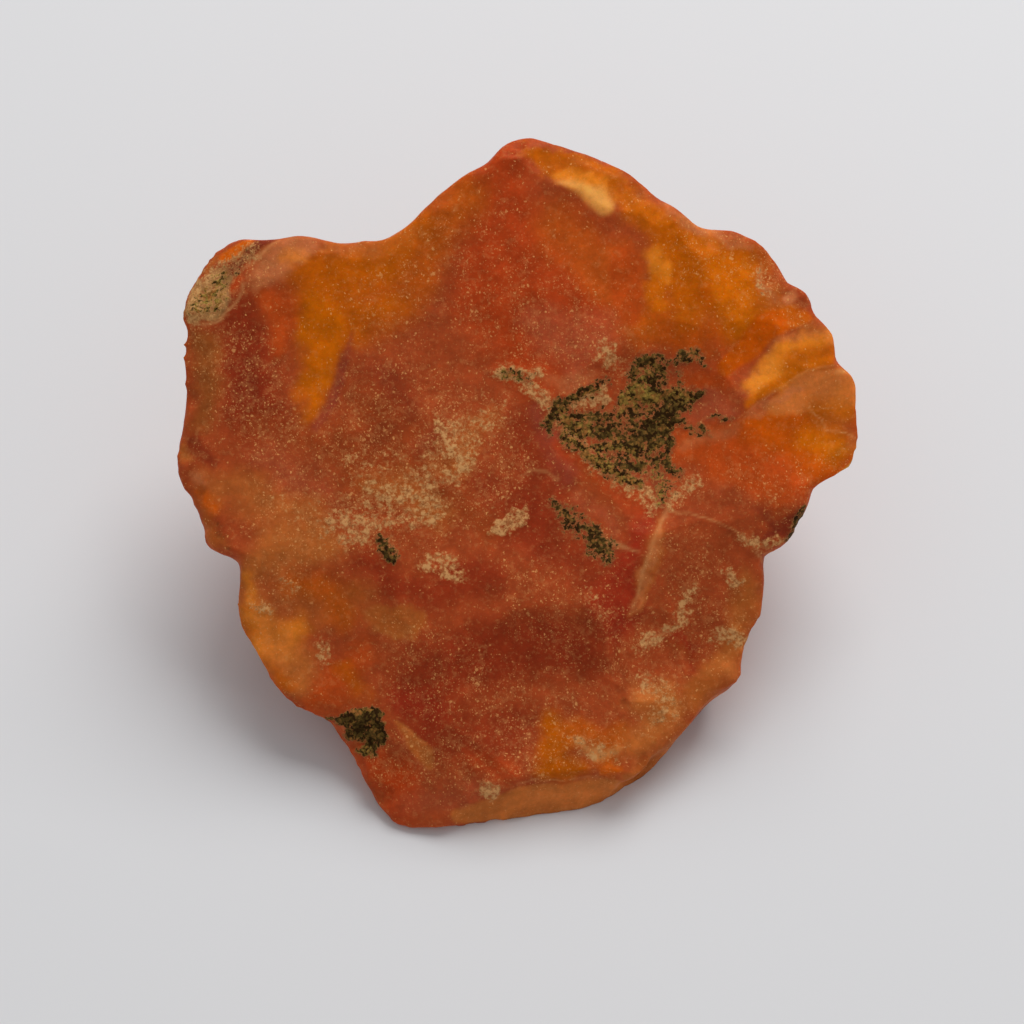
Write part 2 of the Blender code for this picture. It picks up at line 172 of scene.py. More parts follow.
# Each patch lies over those before it.
PATCHES = (
    # The peak and the left side.
    Patch(Tone.RED, ((-0.5, 24.0, 1.4), (-0.6, 19.5, 2.6), (0.6, 15.0, 4.2), (2.8, 12.0, 4.4)), 3.0),
    Patch(Tone.RED_ORANGE, ((3.4, 19.0, 1.8), (6.4, 16.4, 2.0), (8.0, 13.2, 1.6)), 2.5),
    Patch(Tone.ORANGE, ((9.0, 12.6, 1.2), (11.6, 11.8, 1.2), (14.0, 11.8, 1.0)), 2.0, 0.7),
    Patch(Tone.HONEY, ((2.8, 19.4, 1.2), (6.6, 16.0, 1.8), (8.4, 12.8, 1.6)), 2.4, 0.14),
    Patch(Tone.DEEP_AMBER, ((-2.8, 21.8, 0.9), (-5.4, 18.4, 1.8), (-8.0, 15.2, 2.6), (-11.4, 14.2, 2.8)),
          2.4),
    Patch(Tone.AMBER, ((-6.3, 18.9, 0.8), (-8.6, 16.9, 1.4), (-11.5, 16.2, 1.4), (-13.4, 15.4, 1.3)),
          1.8),
    Patch(Tone.AMBER, ((-11.6, 13.6, 1.6), (-9.6, 12.6, 1.4), (-8.2, 13.6, 1.0)), 2.0, 0.75),
    Patch(Tone.GOLD, ((-13.1, 12.8, 1.5), (-12.8, 10.6, 1.3), (-13.2, 8.4, 0.8), (-13.5, 6.6, 0.4)), 1.2,
          0.95),
    Patch(Tone.RED_ORANGE, ((-16.4, 14.4, 0.7), (-15.2, 13.4, 0.9), (-15.4, 11.2, 0.7)), 1.2, 0.85),
    Patch(Tone.DARK_RED, ((-18.0, 13.4, 1.2), (-17.6, 11.6, 1.5), (-17.6, 9.2, 2.1), (-17.0, 6.2, 2.0)),
          2.0),
    Patch(Tone.LIVER, ((-18.0, 9.4, 1.0), (-17.4, 7.6, 1.2)), 1.8, 0.6),
    Patch(Tone.OLIVE_BROWN, ((-21.0, 11.2, 0.9), (-20.6, 9.0, 1.0), (-20.8, 6.4, 0.8)), 1.6, 0.85),
    Patch(Tone.TAN, ((-20.6, 11.4, 0.4), (-20.0, 10.8, 0.5)), 1.2, 0.6),
    Patch(Tone.BRICK, ((-8.6, 10.4, 1.6), (-10.0, 7.0, 1.8)), 2.4, 0.7),
    Patch(Tone.ROSE, ((-16.6, 4.2, 1.2), (-14.6, 2.9, 1.4), (-12.0, 2.4, 1.3)), 2.0, 0.8),
    Patch(Tone.LIVER, ((-8.4, 9.0, 1.2), (-7.4, 7.4, 1.2), (-8.6, 4.6, 1.2)), 1.8, 0.6),
    Patch(Tone.PLUM, ((-5.6, 5.4, 0.5), (-6.0, 3.6, 0.5)), 1.0, 0.6),
    Patch(Tone.RUSSET, ((-17.0, 5.2, 1.2), (-13.4, 4.2, 1.8), (-9.4, 2.6, 2.0), (-5.6, 1.6, 1.8)), 2.6,
          0.62),
    Patch(Tone.RUSSET, ((-9.6, 6.6, 1.4), (-6.4, 5.0, 1.6), (-4.0, 3.0, 1.2)), 2.4, 0.5),
    Patch(Tone.ORANGE_TAN, ((-20.0, 1.2, 1.0), (-18.6, 2.0, 0.9), (-16.8, 0.6, 1.2), (-13.6, 0.0, 1.0)),
          2.2, 0.7),
    Patch(Tone.ORANGE, ((-20.6, 1.0, 0.4), (-19.8, 0.2, 0.4)), 0.8, 0.8),
    Patch(Tone.ORANGE_TAN, ((-22.0, 4.6, 0.3), (-21.7, 3.6, 0.3)), 0.6, 0.8),
    Patch(Tone.LIVER, ((-21.2, 4.8, 0.25), (-20.6, 4.0, 0.3), (-20.0, 3.2, 0.25)), 0.7, 0.75),
    # The right shoulder.
    Patch(Tone.AMBER, ((12.0, 17.4, 1.8), (14.6, 15.6, 2.6), (15.4, 13.4, 2.0)), 2.0, 0.95),
    Patch(Tone.GOLD, ((13.0, 17.4, 1.0), (15.2, 15.2, 1.4), (15.4, 13.0, 1.0)), 1.4, 0.9),
    Patch(Tone.ORANGE, ((11.6, 14.8, 0.6), (12.8, 14.4, 0.7)), 1.0, 0.85),
    Patch(Tone.DEEP_AMBER, ((6.6, 22.0, 0.8), (8.4, 20.4, 1.2), (10.4, 18.6, 1.1)), 1.6, 0.9),
    Patch(Tone.GOLD, ((7.6, 21.2, 0.6), (9.9, 19.2, 0.9), (12.2, 18.0, 0.7)), 1.4, 0.85),
    Patch(Tone.AMBER, ((10.4, 17.6, 1.4), (11.4, 15.6, 1.8), (11.6, 13.6, 1.3)), 1.8, 0.95),
    # The middle.
    Patch(Tone.ROSE, ((1.4, 13.0, 0.8), (3.4, 11.4, 1.6), (6.0, 11.6, 1.2), (4.4, 9.4, 1.0)), 2.2, 0.8),
    Patch(Tone.DARK_RED, ((0.4, 5.8, 1.2), (1.6, 3.8, 1.5), (2.2, 0.8, 1.9), (1.0, -1.6, 1.6)), 2.2, 0.7),
    Patch(Tone.PLUM, ((1.6, 6.8, 0.5), (2.8, 4.8, 0.8), (3.6, 2.8, 0.8)), 1.4, 0.7),
    Patch(Tone.DARK_RED, ((1.4, -0.8, 1.0), (2.6, -2.6, 1.3), (5.0, -3.6, 1.2)), 1.8, 0.7),
    Patch(Tone.DARK_RED, ((-2.0, 1.8, 0.8), (-0.4, 0.8, 1.0), (1.6, 0.4, 0.8)), 1.6, 0.65),
    Patch(Tone.RED, ((3.4, 4.2, 0.5), (5.6, 2.0, 0.7), (8.6, 0.2, 0.8)), 1.4, 0.7),
    Patch(Tone.DEEP_RED, ((9.2, -0.4, 0.5), (8.0, -2.8, 1.2), (7.0, -5.2, 1.6), (6.6, -7.0, 1.4)), 1.8,
          0.95),
    Patch(Tone.ROSE, ((4.8, 1.2, 0.6), (6.6, -0.6, 0.7)), 1.2, 0.7),
    Patch(Tone.RUSSET, ((4.8, 2.4, 0.5), (6.2, 0.9, 0.8), (7.6, -0.4, 0.5)), 1.2, 0.75),
    Patch(Tone.HAZE, ((2.2, 9.0, 0.3), (3.6, 8.6, 0.4), (5.4, 9.2, 0.3)), 0.9, 0.5),
    Patch(Tone.RUSSET, ((-3.4, -0.4, 0.8), (-1.4, -1.2, 0.9)), 1.8, 0.6),
    # The lower left, the bottom and the lower right.
    Patch(Tone.DARK_RED, ((-6.0, -11.6, 2.4), (-2.6, -9.6, 2.4), (1.6, -8.8, 2.2), (5.0, -9.4, 1.6)), 2.8,
          0.85),
    Patch(Tone.DEEP_RED, ((-7.6, -12.4, 0.9), (-5.4, -13.4, 1.4), (-5.8, -14.6, 0.6)), 1.4, 0.85),
    Patch(Tone.DARK_RED, ((-9.8, -3.2, 0.8), (-8.0, -4.4, 1.4), (-5.6, -5.4, 1.0), (-2.0, -4.6, 1.2)),
          1.8, 0.85),
    Patch(Tone.ORANGE_TAN, ((-17.4, -4.2, 0.8), (-15.4, -2.2, 1.6), (-12.8, -2.2, 1.2)), 2.0, 0.85),
    Patch(Tone.ORANGE_TAN, ((-17.4, -6.0, 1.0), (-16.2, -9.2, 1.4), (-14.4, -10.6, 1.4)), 2.0, 0.95),
    Patch(Tone.TAN, ((-14.8, -5.4, 1.2), (-12.6, -6.4, 1.4), (-10.4, -5.8, 1.0)), 1.8, 0.6),
    Patch(Tone.AMBER, ((-17.9, -6.6, 0.4), (-16.8, -9.4, 0.35), (-15.2, -11.6, 0.5)), 0.9, 0.7),
    Patch(Tone.DEEP_AMBER, ((-14.4, -4.6, 0.8), (-12.0, -5.2, 1.0), (-11.2, -7.0, 0.8)), 1.6, 0.8),
    Patch(Tone.RED_ORANGE, ((-13.4, -12.6, 0.7), (-11.6, -11.6, 1.2), (-10.2, -9.6, 1.0)), 1.8, 0.75),
    Patch(Tone.AMBER, ((-11.2, -10.4, 0.5), (-10.2, -12.0, 0.5)), 1.0, 0.6),
    Patch(Tone.TAN, ((-9.4, -7.1, 0.7), (-8.0, -7.3, 1.0), (-6.6, -7.2, 0.8)), 0.6, 0.85),
    Patch(Tone.ORANGE_TAN, ((-7.8, -8.2, 0.25), (-6.4, -8.0, 0.3)), 0.7, 0.7),
    Patch(Tone.TAN, ((-9.0, 2.0, 0.6), (-6.4, 1.2, 0.8), (-5.0, -0.4, 0.8)), 1.6, 0.7),
    Patch(Tone.TAN, ((-4.4, 2.8, 0.7), (-3.6, 4.2, 1.0), (-2.4, 6.0, 0.7), (-1.4, 6.2, 0.4)), 1.6, 0.6),
    Patch(Tone.AMBER, ((2.6, -13.8, 0.7), (3.4, -15.2, 1.3), (2.4, -17.0, 0.8), (5.0, -17.3, 0.5)), 1.2,
          0.95),
    Patch(Tone.DEEP_AMBER, ((4.6, -14.6, 1.0), (7.2, -15.4, 1.0), (6.6, -17.2, 0.5)), 1.4, 0.9),
    # Painted glow of light shining through the thin bottom lip.
    Patch(Tone.GLOW, ((6.2, -17.4, 0.25), (7.3, -17.3, 0.3)), 0.5, 0.8),
    Patch(Tone.CREAM, ((4.6, -15.6, 0.25), (5.8, -16.2, 0.35), (7.2, -16.1, 0.2)), 0.6, 0.6),
    Patch(Tone.BRICK, ((5.4, -13.0, 0.6), (6.6, -14.2, 0.6)), 1.2, 0.7),
    Patch(Tone.ORANGE_TAN, ((8.4, -12.6, 1.0), (10.4, -12.8, 1.2), (8.8, -15.4, 1.2)), 1.8, 0.9),
    Patch(Tone.RED, ((-9.6, -17.0, 0.6), (-7.8, -18.0, 1.1), (-7.4, -20.0, 1.0)), 1.2, 0.95),
    Patch(Tone.DARK_RED, ((-5.4, -15.4, 1.2), (-2.8, -15.0, 2.0), (-0.4, -14.6, 1.6)), 2.4, 0.7),
    Patch(Tone.RED, ((-2.6, -16.9, 0.6), (-0.2, -17.2, 0.7)), 1.4, 0.6),
    Patch(Tone.ROSE, ((-7.0, -19.6, 0.8), (-4.2, -19.4, 0.9), (-1.6, -18.8, 0.5)), 1.4, 0.6),
    Patch(Tone.TAN, ((-7.8, -14.0, 0.12), (-6.7, -15.2, 0.4), (-5.9, -16.2, 0.65), (-5.5, -17.2, 0.3)),
          0.3, 0.85, crisp=True),
    Patch(Tone.PEACH, ((-7.9, -13.9, 0.08), (-6.7, -14.9, 0.14), (-5.7, -15.6, 0.14)), 0.2, 0.6,
          crisp=True),
    Patch(Tone.TAN, ((8.2, -18.2, 0.8), (10.2, -16.8, 0.8), (12.2, -14.8, 0.6)), 0.8, 0.85),
    Patch(Tone.BRICK, ((11.0, -2.2, 1.2), (13.2, -4.6, 2.0), (13.4, -7.4, 1.6)), 2.2, 0.8),
    Patch(Tone.ORANGE_TAN, ((10.0, -0.8, 0.4), (9.4, -3.4, 0.5), (8.5, -5.6, 0.3), (7.9, -6.8, 0.15)),
          0.8, 0.8),
    Patch(Tone.TAN, ((16.0, -5.0, 0.7), (15.2, -8.0, 0.8), (14.4, -10.4, 0.9), (12.4, -12.6, 0.8)), 1.6,
          0.9),
    Patch(Tone.ORANGE_TAN, ((13.4, -10.6, 0.4), (14.4, -9.6, 0.5)), 1.2, 0.7),
    # Painted shadow: a dark red crescent along the shaded edge of a small flake.
    Patch(Tone.DEEP_RED, ((10.9, -8.2, 0.15), (12.0, -9.1, 0.3), (12.3, -10.8, 0.25)), 0.6, 0.9),
    Patch(Tone.MAROON, ((16.6, 0.4, 0.4), (17.4, -0.2, 0.4)), 1.0, 0.5),
    Patch(Tone.MAROON, ((16.8, -1.6, 0.4), (18.2, -1.2, 0.6), (19.4, -0.2, 0.4)), 0.8, 0.8),
    Patch(Tone.RED_ORANGE, ((18.2, 2.8, 0.6), (19.4, 1.6, 0.6), (21.6, 2.8, 0.4)), 1.0, 0.8),
    # What lies over those: the upper rim, and the stepped flakes of the right side.
    Patch(Tone.HAZE, ((-10.4, 17.8, 0.3), (-9.2, 17.6, 0.4)), 0.9, 0.65),
    Patch(Tone.AMBER, ((-14.6, 16.2, 0.8), (-12.4, 17.4, 0.7), (-8.4, 17.6, 0.5)), 1.2, 0.6),
    Patch(Tone.TAN, ((-17.4, 17.4, 0.5), (-13.6, 17.9, 0.6), (-9.4, 17.7, 0.6), (-6.4, 18.4, 0.5)), 1.2,
          0.4),
    Patch(Tone.RED_ORANGE, ((7.5, 16.8, 0.9), (7.6, 14.2, 1.0), (7.8, 13.0, 0.6)), 0.5, 0.8, crisp=True),
    Patch(Tone.HONEY, ((9.5, 17.0, 0.6), (9.9, 16.0, 0.9)), 0.9, 0.8),
    Patch(Tone.GOLD, ((9.6, 15.2, 0.7), (9.6, 14.0, 0.6)), 0.7, 0.85),
    Patch(Tone.AMBER, ((1.2, 24.2, 0.5), (2.6, 23.4, 1.0), (4.4, 23.0, 1.0), (6.4, 22.4, 0.9)), 0.6,
          0.95),
    Patch(Tone.HONEY, ((3.6, 22.5, 0.5), (5.4, 22.0, 0.7), (6.4, 21.4, 0.5)), 0.9, 0.85),
    Patch(Tone.PALE_HONEY, ((3.3, 22.0, 0.1), (4.6, 21.7, 0.35), (5.7, 21.1, 0.75), (6.2, 20.5, 0.55)),
          0.6, 0.85, crisp=True),
    Patch(Tone.RED_ORANGE, ((12.4, 4.4, 1.8), (15.4, 4.2, 2.4), (18.2, 2.4, 1.8)), 1.8, 0.95),
    Patch(Tone.ORANGE, ((16.4, 5.6, 1.2), (19.0, 5.4, 2.0), (20.4, 3.6, 1.6)), 2.0, 0.9),
    Patch(Tone.RED_ORANGE, ((12.6, 8.6, 0.8), (14.2, 9.2, 1.0), (15.2, 10.4, 0.8)), 1.6, 0.85),
    Patch(Tone.ROSE, ((12.2, 6.2, 0.5), (13.6, 7.4, 0.9), (14.6, 6.8, 0.7)), 1.2, 0.85),
    Patch(Tone.HAZE, ((11.4, 4.4, 0.4), (13.2, 4.9, 0.6), (14.6, 5.4, 0.4)), 1.0, 0.5),
    Patch(Tone.ORANGE, ((14.4, 9.8, 0.6), (15.8, 11.0, 0.8), (17.2, 12.4, 1.0), (18.8, 13.2, 0.8),
          (19.6, 13.2, 0.5)), 0.4, 0.95, crisp=True),
    Patch(Tone.HONEY, ((16.2, 8.2, 0.6), (17.4, 9.3, 1.1), (19.2, 10.6, 1.1), (20.6, 11.4, 0.9)), 0.9,
          0.9),
    Patch(Tone.PALE_HONEY, ((16.4, 8.4, 0.3), (17.0, 9.4, 0.5), (17.4, 10.4, 0.3)), 1.0, 0.12),
    Patch(Tone.AMBER, ((18.8, 9.9, 0.5), (20.6, 10.4, 0.7), (21.3, 10.8, 0.4)), 1.0, 0.85),
    Patch(Tone.PEACH, ((18.0, 11.4, 0.25), (19.4, 11.8, 0.4), (20.8, 12.2, 0.5), (21.3, 11.6, 0.3)), 0.8,
          0.65),
    Patch(Tone.GOLD, ((15.8, 7.3, 0.25), (17.6, 8.5, 0.3), (19.4, 9.6, 0.3), (21.2, 10.2, 0.3)), 0.5,
          0.85, crisp=True),
    Patch(Tone.HONEY, ((17.6, 6.9, 0.5), (20.0, 8.1, 1.35), (22.0, 8.3, 1.4)), 0.5, 0.5, crisp=True),
    Patch(Tone.PEACH, ((17.6, 6.9, 0.5), (20.0, 8.1, 1.35), (22.0, 8.3, 1.4)), 0.5, 0.8, crisp=True),
    Patch(Tone.HAZE, ((15.6, 6.1, 0.2), (17.6, 7.3, 0.3), (19.0, 8.2, 0.4)), 0.5, 0.5),
    Patch(Tone.AMBER, ((20.6, 6.8, 0.6), (22.4, 6.8, 0.7)), 1.4, 0.85),
    Patch(Tone.GOLD, ((20.2, 4.9, 1.0), (21.4, 4.2, 1.3)), 1.4, 0.95),
    Patch(Tone.HONEY, ((20.8, 4.2, 0.3), (21.9, 4.2, 0.5)), 1.2, 0.35),
    Patch(Tone.PEACH, ((22.5, 4.4, 0.3), (22.9, 5.2, 0.2)), 0.6, 0.6),
    Patch(Tone.HONEY, ((21.6, 6.0, 0.8), (22.2, 8.2, 0.7)), 1.0, 0.2),
    Patch(Tone.HONEY, ((17.4, 14.6, 0.7), (19.6, 12.8, 0.7)), 1.2, 0.18),
    Patch(Tone.CREAM, ((21.5, 9.6, 0.12), (22.1, 9.3, 0.25)), 0.4, 0.6),
    Patch(Tone.HAZE, ((18.4, 14.3, 0.35), (18.8, 14.5, 0.4)), 0.25, 0.9, crisp=True),
    Patch(Tone.HAZE, ((10.3, 20.3, 0.15), (11.6, 19.3, 0.3), (12.6, 18.8, 0.3)), 0.6, 0.75),
    Patch(Tone.HAZE, ((11.8, 18.9, 0.3), (13.4, 18.5, 0.4), (14.8, 18.1, 0.5), (15.8, 18.0, 0.3)), 0.8,
          0.6),
    Patch(Tone.HAZE, ((16.6, 16.0, 0.2), (17.0, 15.2, 0.35), (17.4, 14.3, 0.25)), 0.6, 0.5),
    # Streaks and spots elsewhere.
    Patch(Tone.PLUM, ((-10.8, 12.1, 0.1), (-11.3, 9.8, 0.35), (-12.1, 7.5, 0.4), (-13.1, 5.8, 0.3)), 0.5,
          0.6, crisp=True),
    Patch(Tone.HONEY, ((-17.2, -7.0, 0.6), (-15.8, -8.6, 1.3), (-14.6, -8.0, 1.0)), 1.8, 0.75),
    Patch(Tone.PEACH, ((-16.9, -7.0, 0.4), (-15.6, -8.8, 0.8), (-15.8, -10.2, 0.4)), 1.4, 0.5),
    Patch(Tone.HONEY, ((-17.6, -4.4, 0.3), (-17.5, -5.6, 0.4)), 0.9, 0.6),
    Patch(Tone.PEACH, ((14.6, -10.4, 0.4), (15.0, -11.2, 0.4)), 0.9, 0.6),
    Patch(Tone.HAZE, ((10.2, -0.4, 0.15), (9.5, -2.8, 0.25), (8.6, -5.2, 0.15), (7.9, -6.6, 0.1)), 0.5,
          0.6),
    Patch(Tone.RUSSET, ((11.4, -9.4, 0.5), (12.4, -10.4, 0.5)), 1.0, 0.5),
    Patch(Tone.ORANGE_TAN, ((-3.6, -20.4, 0.5), (1.0, -19.6, 1.2), (6.6, -18.9, 1.0)), 0.3, 0.95,
          crisp=True),
    Patch(Tone.PEACH, ((-0.6, -20.0, 0.3), (3.4, -19.2, 0.4), (7.2, -18.4, 0.4)), 1.0, 0.5),
    # The crusted corner at the upper left, and the left edge.
    Patch(Tone.HAZE, ((-17.0, 15.6, 0.6), (-16.0, 16.3, 1.1), (-15.0, 17.2, 1.0), (-13.6, 18.0, 0.5)),
          0.8, 0.8),
    Patch(Tone.HONEY, ((-15.2, 16.9, 0.3), (-14.2, 17.0, 0.4)), 0.9, 0.5),
    Patch(Tone.CRUST_GREY, ((-21.2, 13.5, 0.8), (-20.2, 14.4, 1.5), (-19.5, 15.4, 1.0)), 0.3, 0.9,
          crisp=True),
    Patch(Tone.ORANGE_TAN, ((-20.6, 16.3, 0.2), (-19.8, 17.0, 0.25)), 0.4, 0.7),
    Patch(Tone.BRICK, ((-20.8, 15.6, 0.1), (-20.2, 16.0, 0.15)), 0.25, 0.8),
    Patch(Tone.MAROON, ((-18.9, 16.1, 0.25), (-17.8, 17.0, 0.35), (-16.9, 17.8, 0.35),
          (-16.0, 18.1, 0.2)), 0.3, 0.9, crisp=True),
    # Painted glow of light shining through the thin upper left rim.
    Patch(Tone.GLOW, ((-19.3, 17.1, 0.35), (-18.5, 17.4, 0.5), (-17.6, 18.0, 0.3)), 0.3, 0.9, crisp=True),
    Patch(Tone.RED, ((-18.5, 14.9, 0.25), (-18.2, 15.5, 0.25)), 0.25, 0.9, crisp=True),
    Patch(Tone.RED, ((-21.9, 13.1, 0.2), (-21.8, 12.4, 0.15)), 0.3, 0.7),
    # Painted highlight in the small dimple on the left edge.
    Patch(Tone.HAZE, ((-21.2, 2.4, 0.25), (-20.9, 2.1, 0.3)), 0.5, 0.95),
    Patch(Tone.TAN, ((-20.4, -0.2, 0.3), (-19.7, -2.0, 0.5)), 0.8, 0.7),
    Patch(Tone.HAZE, ((-20.6, -0.8, 0.1), (-20.1, -2.2, 0.12)), 0.3, 0.6),
    Patch(Tone.UMBER, ((-19.5, -0.9, 0.1), (-19.1, -2.4, 0.12)), 0.4, 0.8),
)

# Thin pale lines: rims of flakes, healed cracks and the edge of the stepped pocket.
LINES = (
    Cover(((-21.6, 12.6, 0.07), (-20.4, 12.6, 0.07), (-19.4, 13.0, 0.08), (-18.6, 13.7, 0.09)), 0.16,
          0.8),
    Cover(((-18.6, 13.7, 0.09), (-18.1, 14.4, 0.09), (-17.9, 15.2, 0.07)), 0.16, 0.7),
    Cover(((-18.7, 15.6, 0.04), (-17.9, 16.3, 0.07), (-17.0, 16.9, 0.07), (-16.2, 17.6, 0.06),
          (-15.5, 18.1, 0.04)), 0.16, 0.65),
    Cover(((10.6, 0.2, 0.07), (12.0, 0.0, 0.05), (14.6, -1.1, 0.05), (16.2, -2.0, 0.08)), 0.14, 0.75),
    Cover(((16.2, -2.0, 0.08), (16.6, -2.8, 0.1), (16.9, -3.3, 0.05)), 0.14, 0.8),
    Cover(((19.9, 7.2, 0.04), (20.2, 6.8, 0.05), (20.9, 6.1, 0.05), (21.1, 5.5, 0.05), (22.2, 5.4, 0.05),
          (22.9, 5.1, 0.05)), 0.12, 0.75),
    Cover(((20.6, 6.9, 0.03), (21.6, 7.0, 0.03), (21.4, 6.4, 0.03)), 0.12, 0.5),
    Cover(((15.2, 6.4, 0.04), (17.0, 7.6, 0.04), (18.6, 8.8, 0.04), (20.0, 9.6, 0.04), (21.6, 9.9, 0.06)),
          0.14, 0.4),
    Cover(((0.4, -18.2, 0.03), (1.6, -17.95, 0.06), (6.0, -17.85, 0.05)), 0.14, 0.5),
    Cover(((10.5, 0.4, 0.12), (9.7, -1.2, 0.10), (9.1, -3.4, 0.12), (7.9, -6.4, 0.05)), 0.3, 0.6),
    Cover(((9.0, -9.0, 0.1), (10.0, -8.2, 0.1), (11.6, -7.5, 0.03)), 0.3, 0.6),
    Cover(((6.2, -1.9, 0.1), (7.3, -2.2, 0.14), (8.6, -2.6, 0.05)), 0.3, 0.7),
    Cover(((0.4, 2.4, 0.03), (1.2, 2.8, 0.06), (2.4, 2.6, 0.08), (3.0, 2.2, 0.08)), 0.25, 0.6),
)

# The dark granular mineral.
MATRIX_STROKES = (
    Cover(((3.2, 6.4, 0.6), (5.4, 5.8, 1.0), (7.4, 5.6, 1.5), (9.4, 6.6, 1.7), (10.6, 7.2, 1.1)), 0.8,
          0.66),
    Cover(((6.4, 3.8, 0.8), (8.4, 3.8, 1.1), (9.8, 3.6, 0.8), (10.0, 1.8, 0.5)), 0.8, 0.62),
    Cover(((8.0, 9.3, 0.4), (8.8, 10.0, 0.5), (9.7, 10.2, 0.45), (10.1, 9.3, 0.4)), 0.6, 0.82),
    Cover(((8.2, 8.9, 0.5), (9.8, 8.7, 0.5)), 0.6, 0.86),
    Cover(((7.3, 7.5, 0.4), (8.4, 7.9, 0.8), (9.7, 7.7, 0.6)), 0.6),
    Cover(((10.2, 7.8, 0.5), (11.4, 7.6, 0.55), (12.5, 7.7, 0.3), (12.9, 7.8, 0.1)), 0.5),
    Cover(((11.3, 6.9, 0.5), (10.4, 6.3, 0.8), (9.6, 5.6, 0.8), (8.7, 5.3, 0.6)), 0.6),
    Cover(((10.9, 6.0, 0.4), (11.7, 5.6, 0.35), (12.9, 5.2, 0.12)), 0.7, 0.7),
    Cover(((3.9, 7.6, 0.25), (4.8, 8.15, 0.35), (5.6, 8.4, 0.2), (6.3, 8.6, 0.12)), 0.5, 0.9),
    Cover(((3.6, 7.2, 0.35), (2.9, 6.6, 0.4), (2.5, 5.8, 0.25), (2.4, 5.4, 0.1)), 0.5, 0.95),
    Cover(((4.2, 6.3, 0.4), (5.4, 6.5, 0.4), (6.4, 6.5, 0.35)), 0.6, 0.95),
    Cover(((3.6, 5.9, 0.4), (4.8, 5.4, 0.5), (6.2, 5.4, 0.5), (7.2, 5.1, 0.4)), 0.7, 0.9),
    Cover(((6.1, 4.2, 0.4), (7.4, 4.5, 0.5), (8.8, 4.4, 0.5), (9.8, 4.7, 0.4)), 0.6, 0.95),
    Cover(((6.6, 3.3, 0.3), (7.4, 3.2, 0.3), (8.1, 3.1, 0.4), (8.8, 3.1, 0.2)), 0.5),
    Cover(((10.5, 4.8, 0.35), (10.6, 3.6, 0.3), (10.8, 2.8, 0.22), (11.4, 2.4, 0.1)), 0.4, 0.95),
    Cover(((9.0, 2.8, 0.3), (10.0, 2.2, 0.4), (10.9, 1.8, 0.2)), 0.9, 0.6),
    Cover(((10.2, 1.5, 0.3), (9.9, 0.8, 0.2), (9.8, 0.3, 0.15)), 0.6, 0.7),
    Cover(((3.4, 5.1, 0.2), (4.8, 4.2, 0.3), (5.6, 3.5, 0.35), (6.4, 2.8, 0.4), (7.6, 2.3, 0.35),
          (8.5, 1.9, 0.2)), 0.5, 0.95),
    Cover(((11.2, 9.9, 0.2), (11.8, 10.4, 0.35), (12.3, 10.8, 0.25), (12.6, 10.3, 0.15),
          (13.0, 9.9, 0.1)), 0.5, 0.78),
    Cover(((11.3, 9.5, 0.3), (11.2, 8.7, 0.15)), 0.8, 0.6),
    Cover(((10.4, 10.0, 0.2), (10.9, 10.0, 0.15)), 0.4, 0.7),
    Cover(((13.2, 6.3, 0.1), (13.8, 6.5, 0.12), (14.5, 6.3, 0.15)), 0.5, 0.6),
    Cover(((-0.6, 9.4, 0.2), (0.4, 9.1, 0.3), (1.3, 8.9, 0.2)), 0.6, 0.65),
    Cover(((2.9, 0.4, 0.35), (3.8, -0.4, 0.7), (4.5, -1.2, 0.5)), 0.9, 0.8),
    Cover(((4.9, -1.3, 0.4), (5.6, -2.0, 0.7), (6.3, -2.7, 0.4)), 0.7, 0.92),
    Cover(((-8.9, -1.9, 0.2), (-8.6, -2.5, 0.3), (-8.1, -3.0, 0.3)), 0.4, 0.95),
    Cover(((-12.2, -14.0, 0.12), (-10.6, -14.2, 0.75), (-9.5, -14.0, 0.85)), 0.25),
    Cover(((-10.7, -14.8, 0.5), (-9.6, -14.9, 0.9), (-9.4, -15.6, 0.6), (-9.9, -16.3, 0.3)), 0.25),
    Cover(((19.7, 0.2, 0.2), (19.2, -0.8, 0.4), (18.4, -1.9, 0.15)), 0.4, 0.9),
    Cover(((-21.2, 13.6, 0.4), (-20.3, 14.4, 0.9), (-19.4, 15.4, 0.7)), 1.2, 0.6),
    Cover(((-21.0, 14.6, 0.12), (-19.8, 14.9, 0.15), (-19.0, 15.9, 0.12)), 0.4, 0.8),
    Cover(((-21.0, 13.4, 0.1), (-20.0, 13.6, 0.15), (-19.2, 14.6, 0.12)), 0.4, 0.75),
    Cover(((-18.6, 16.3, 0.1), (-17.4, 17.4, 0.2)), 0.6, 0.45),
)

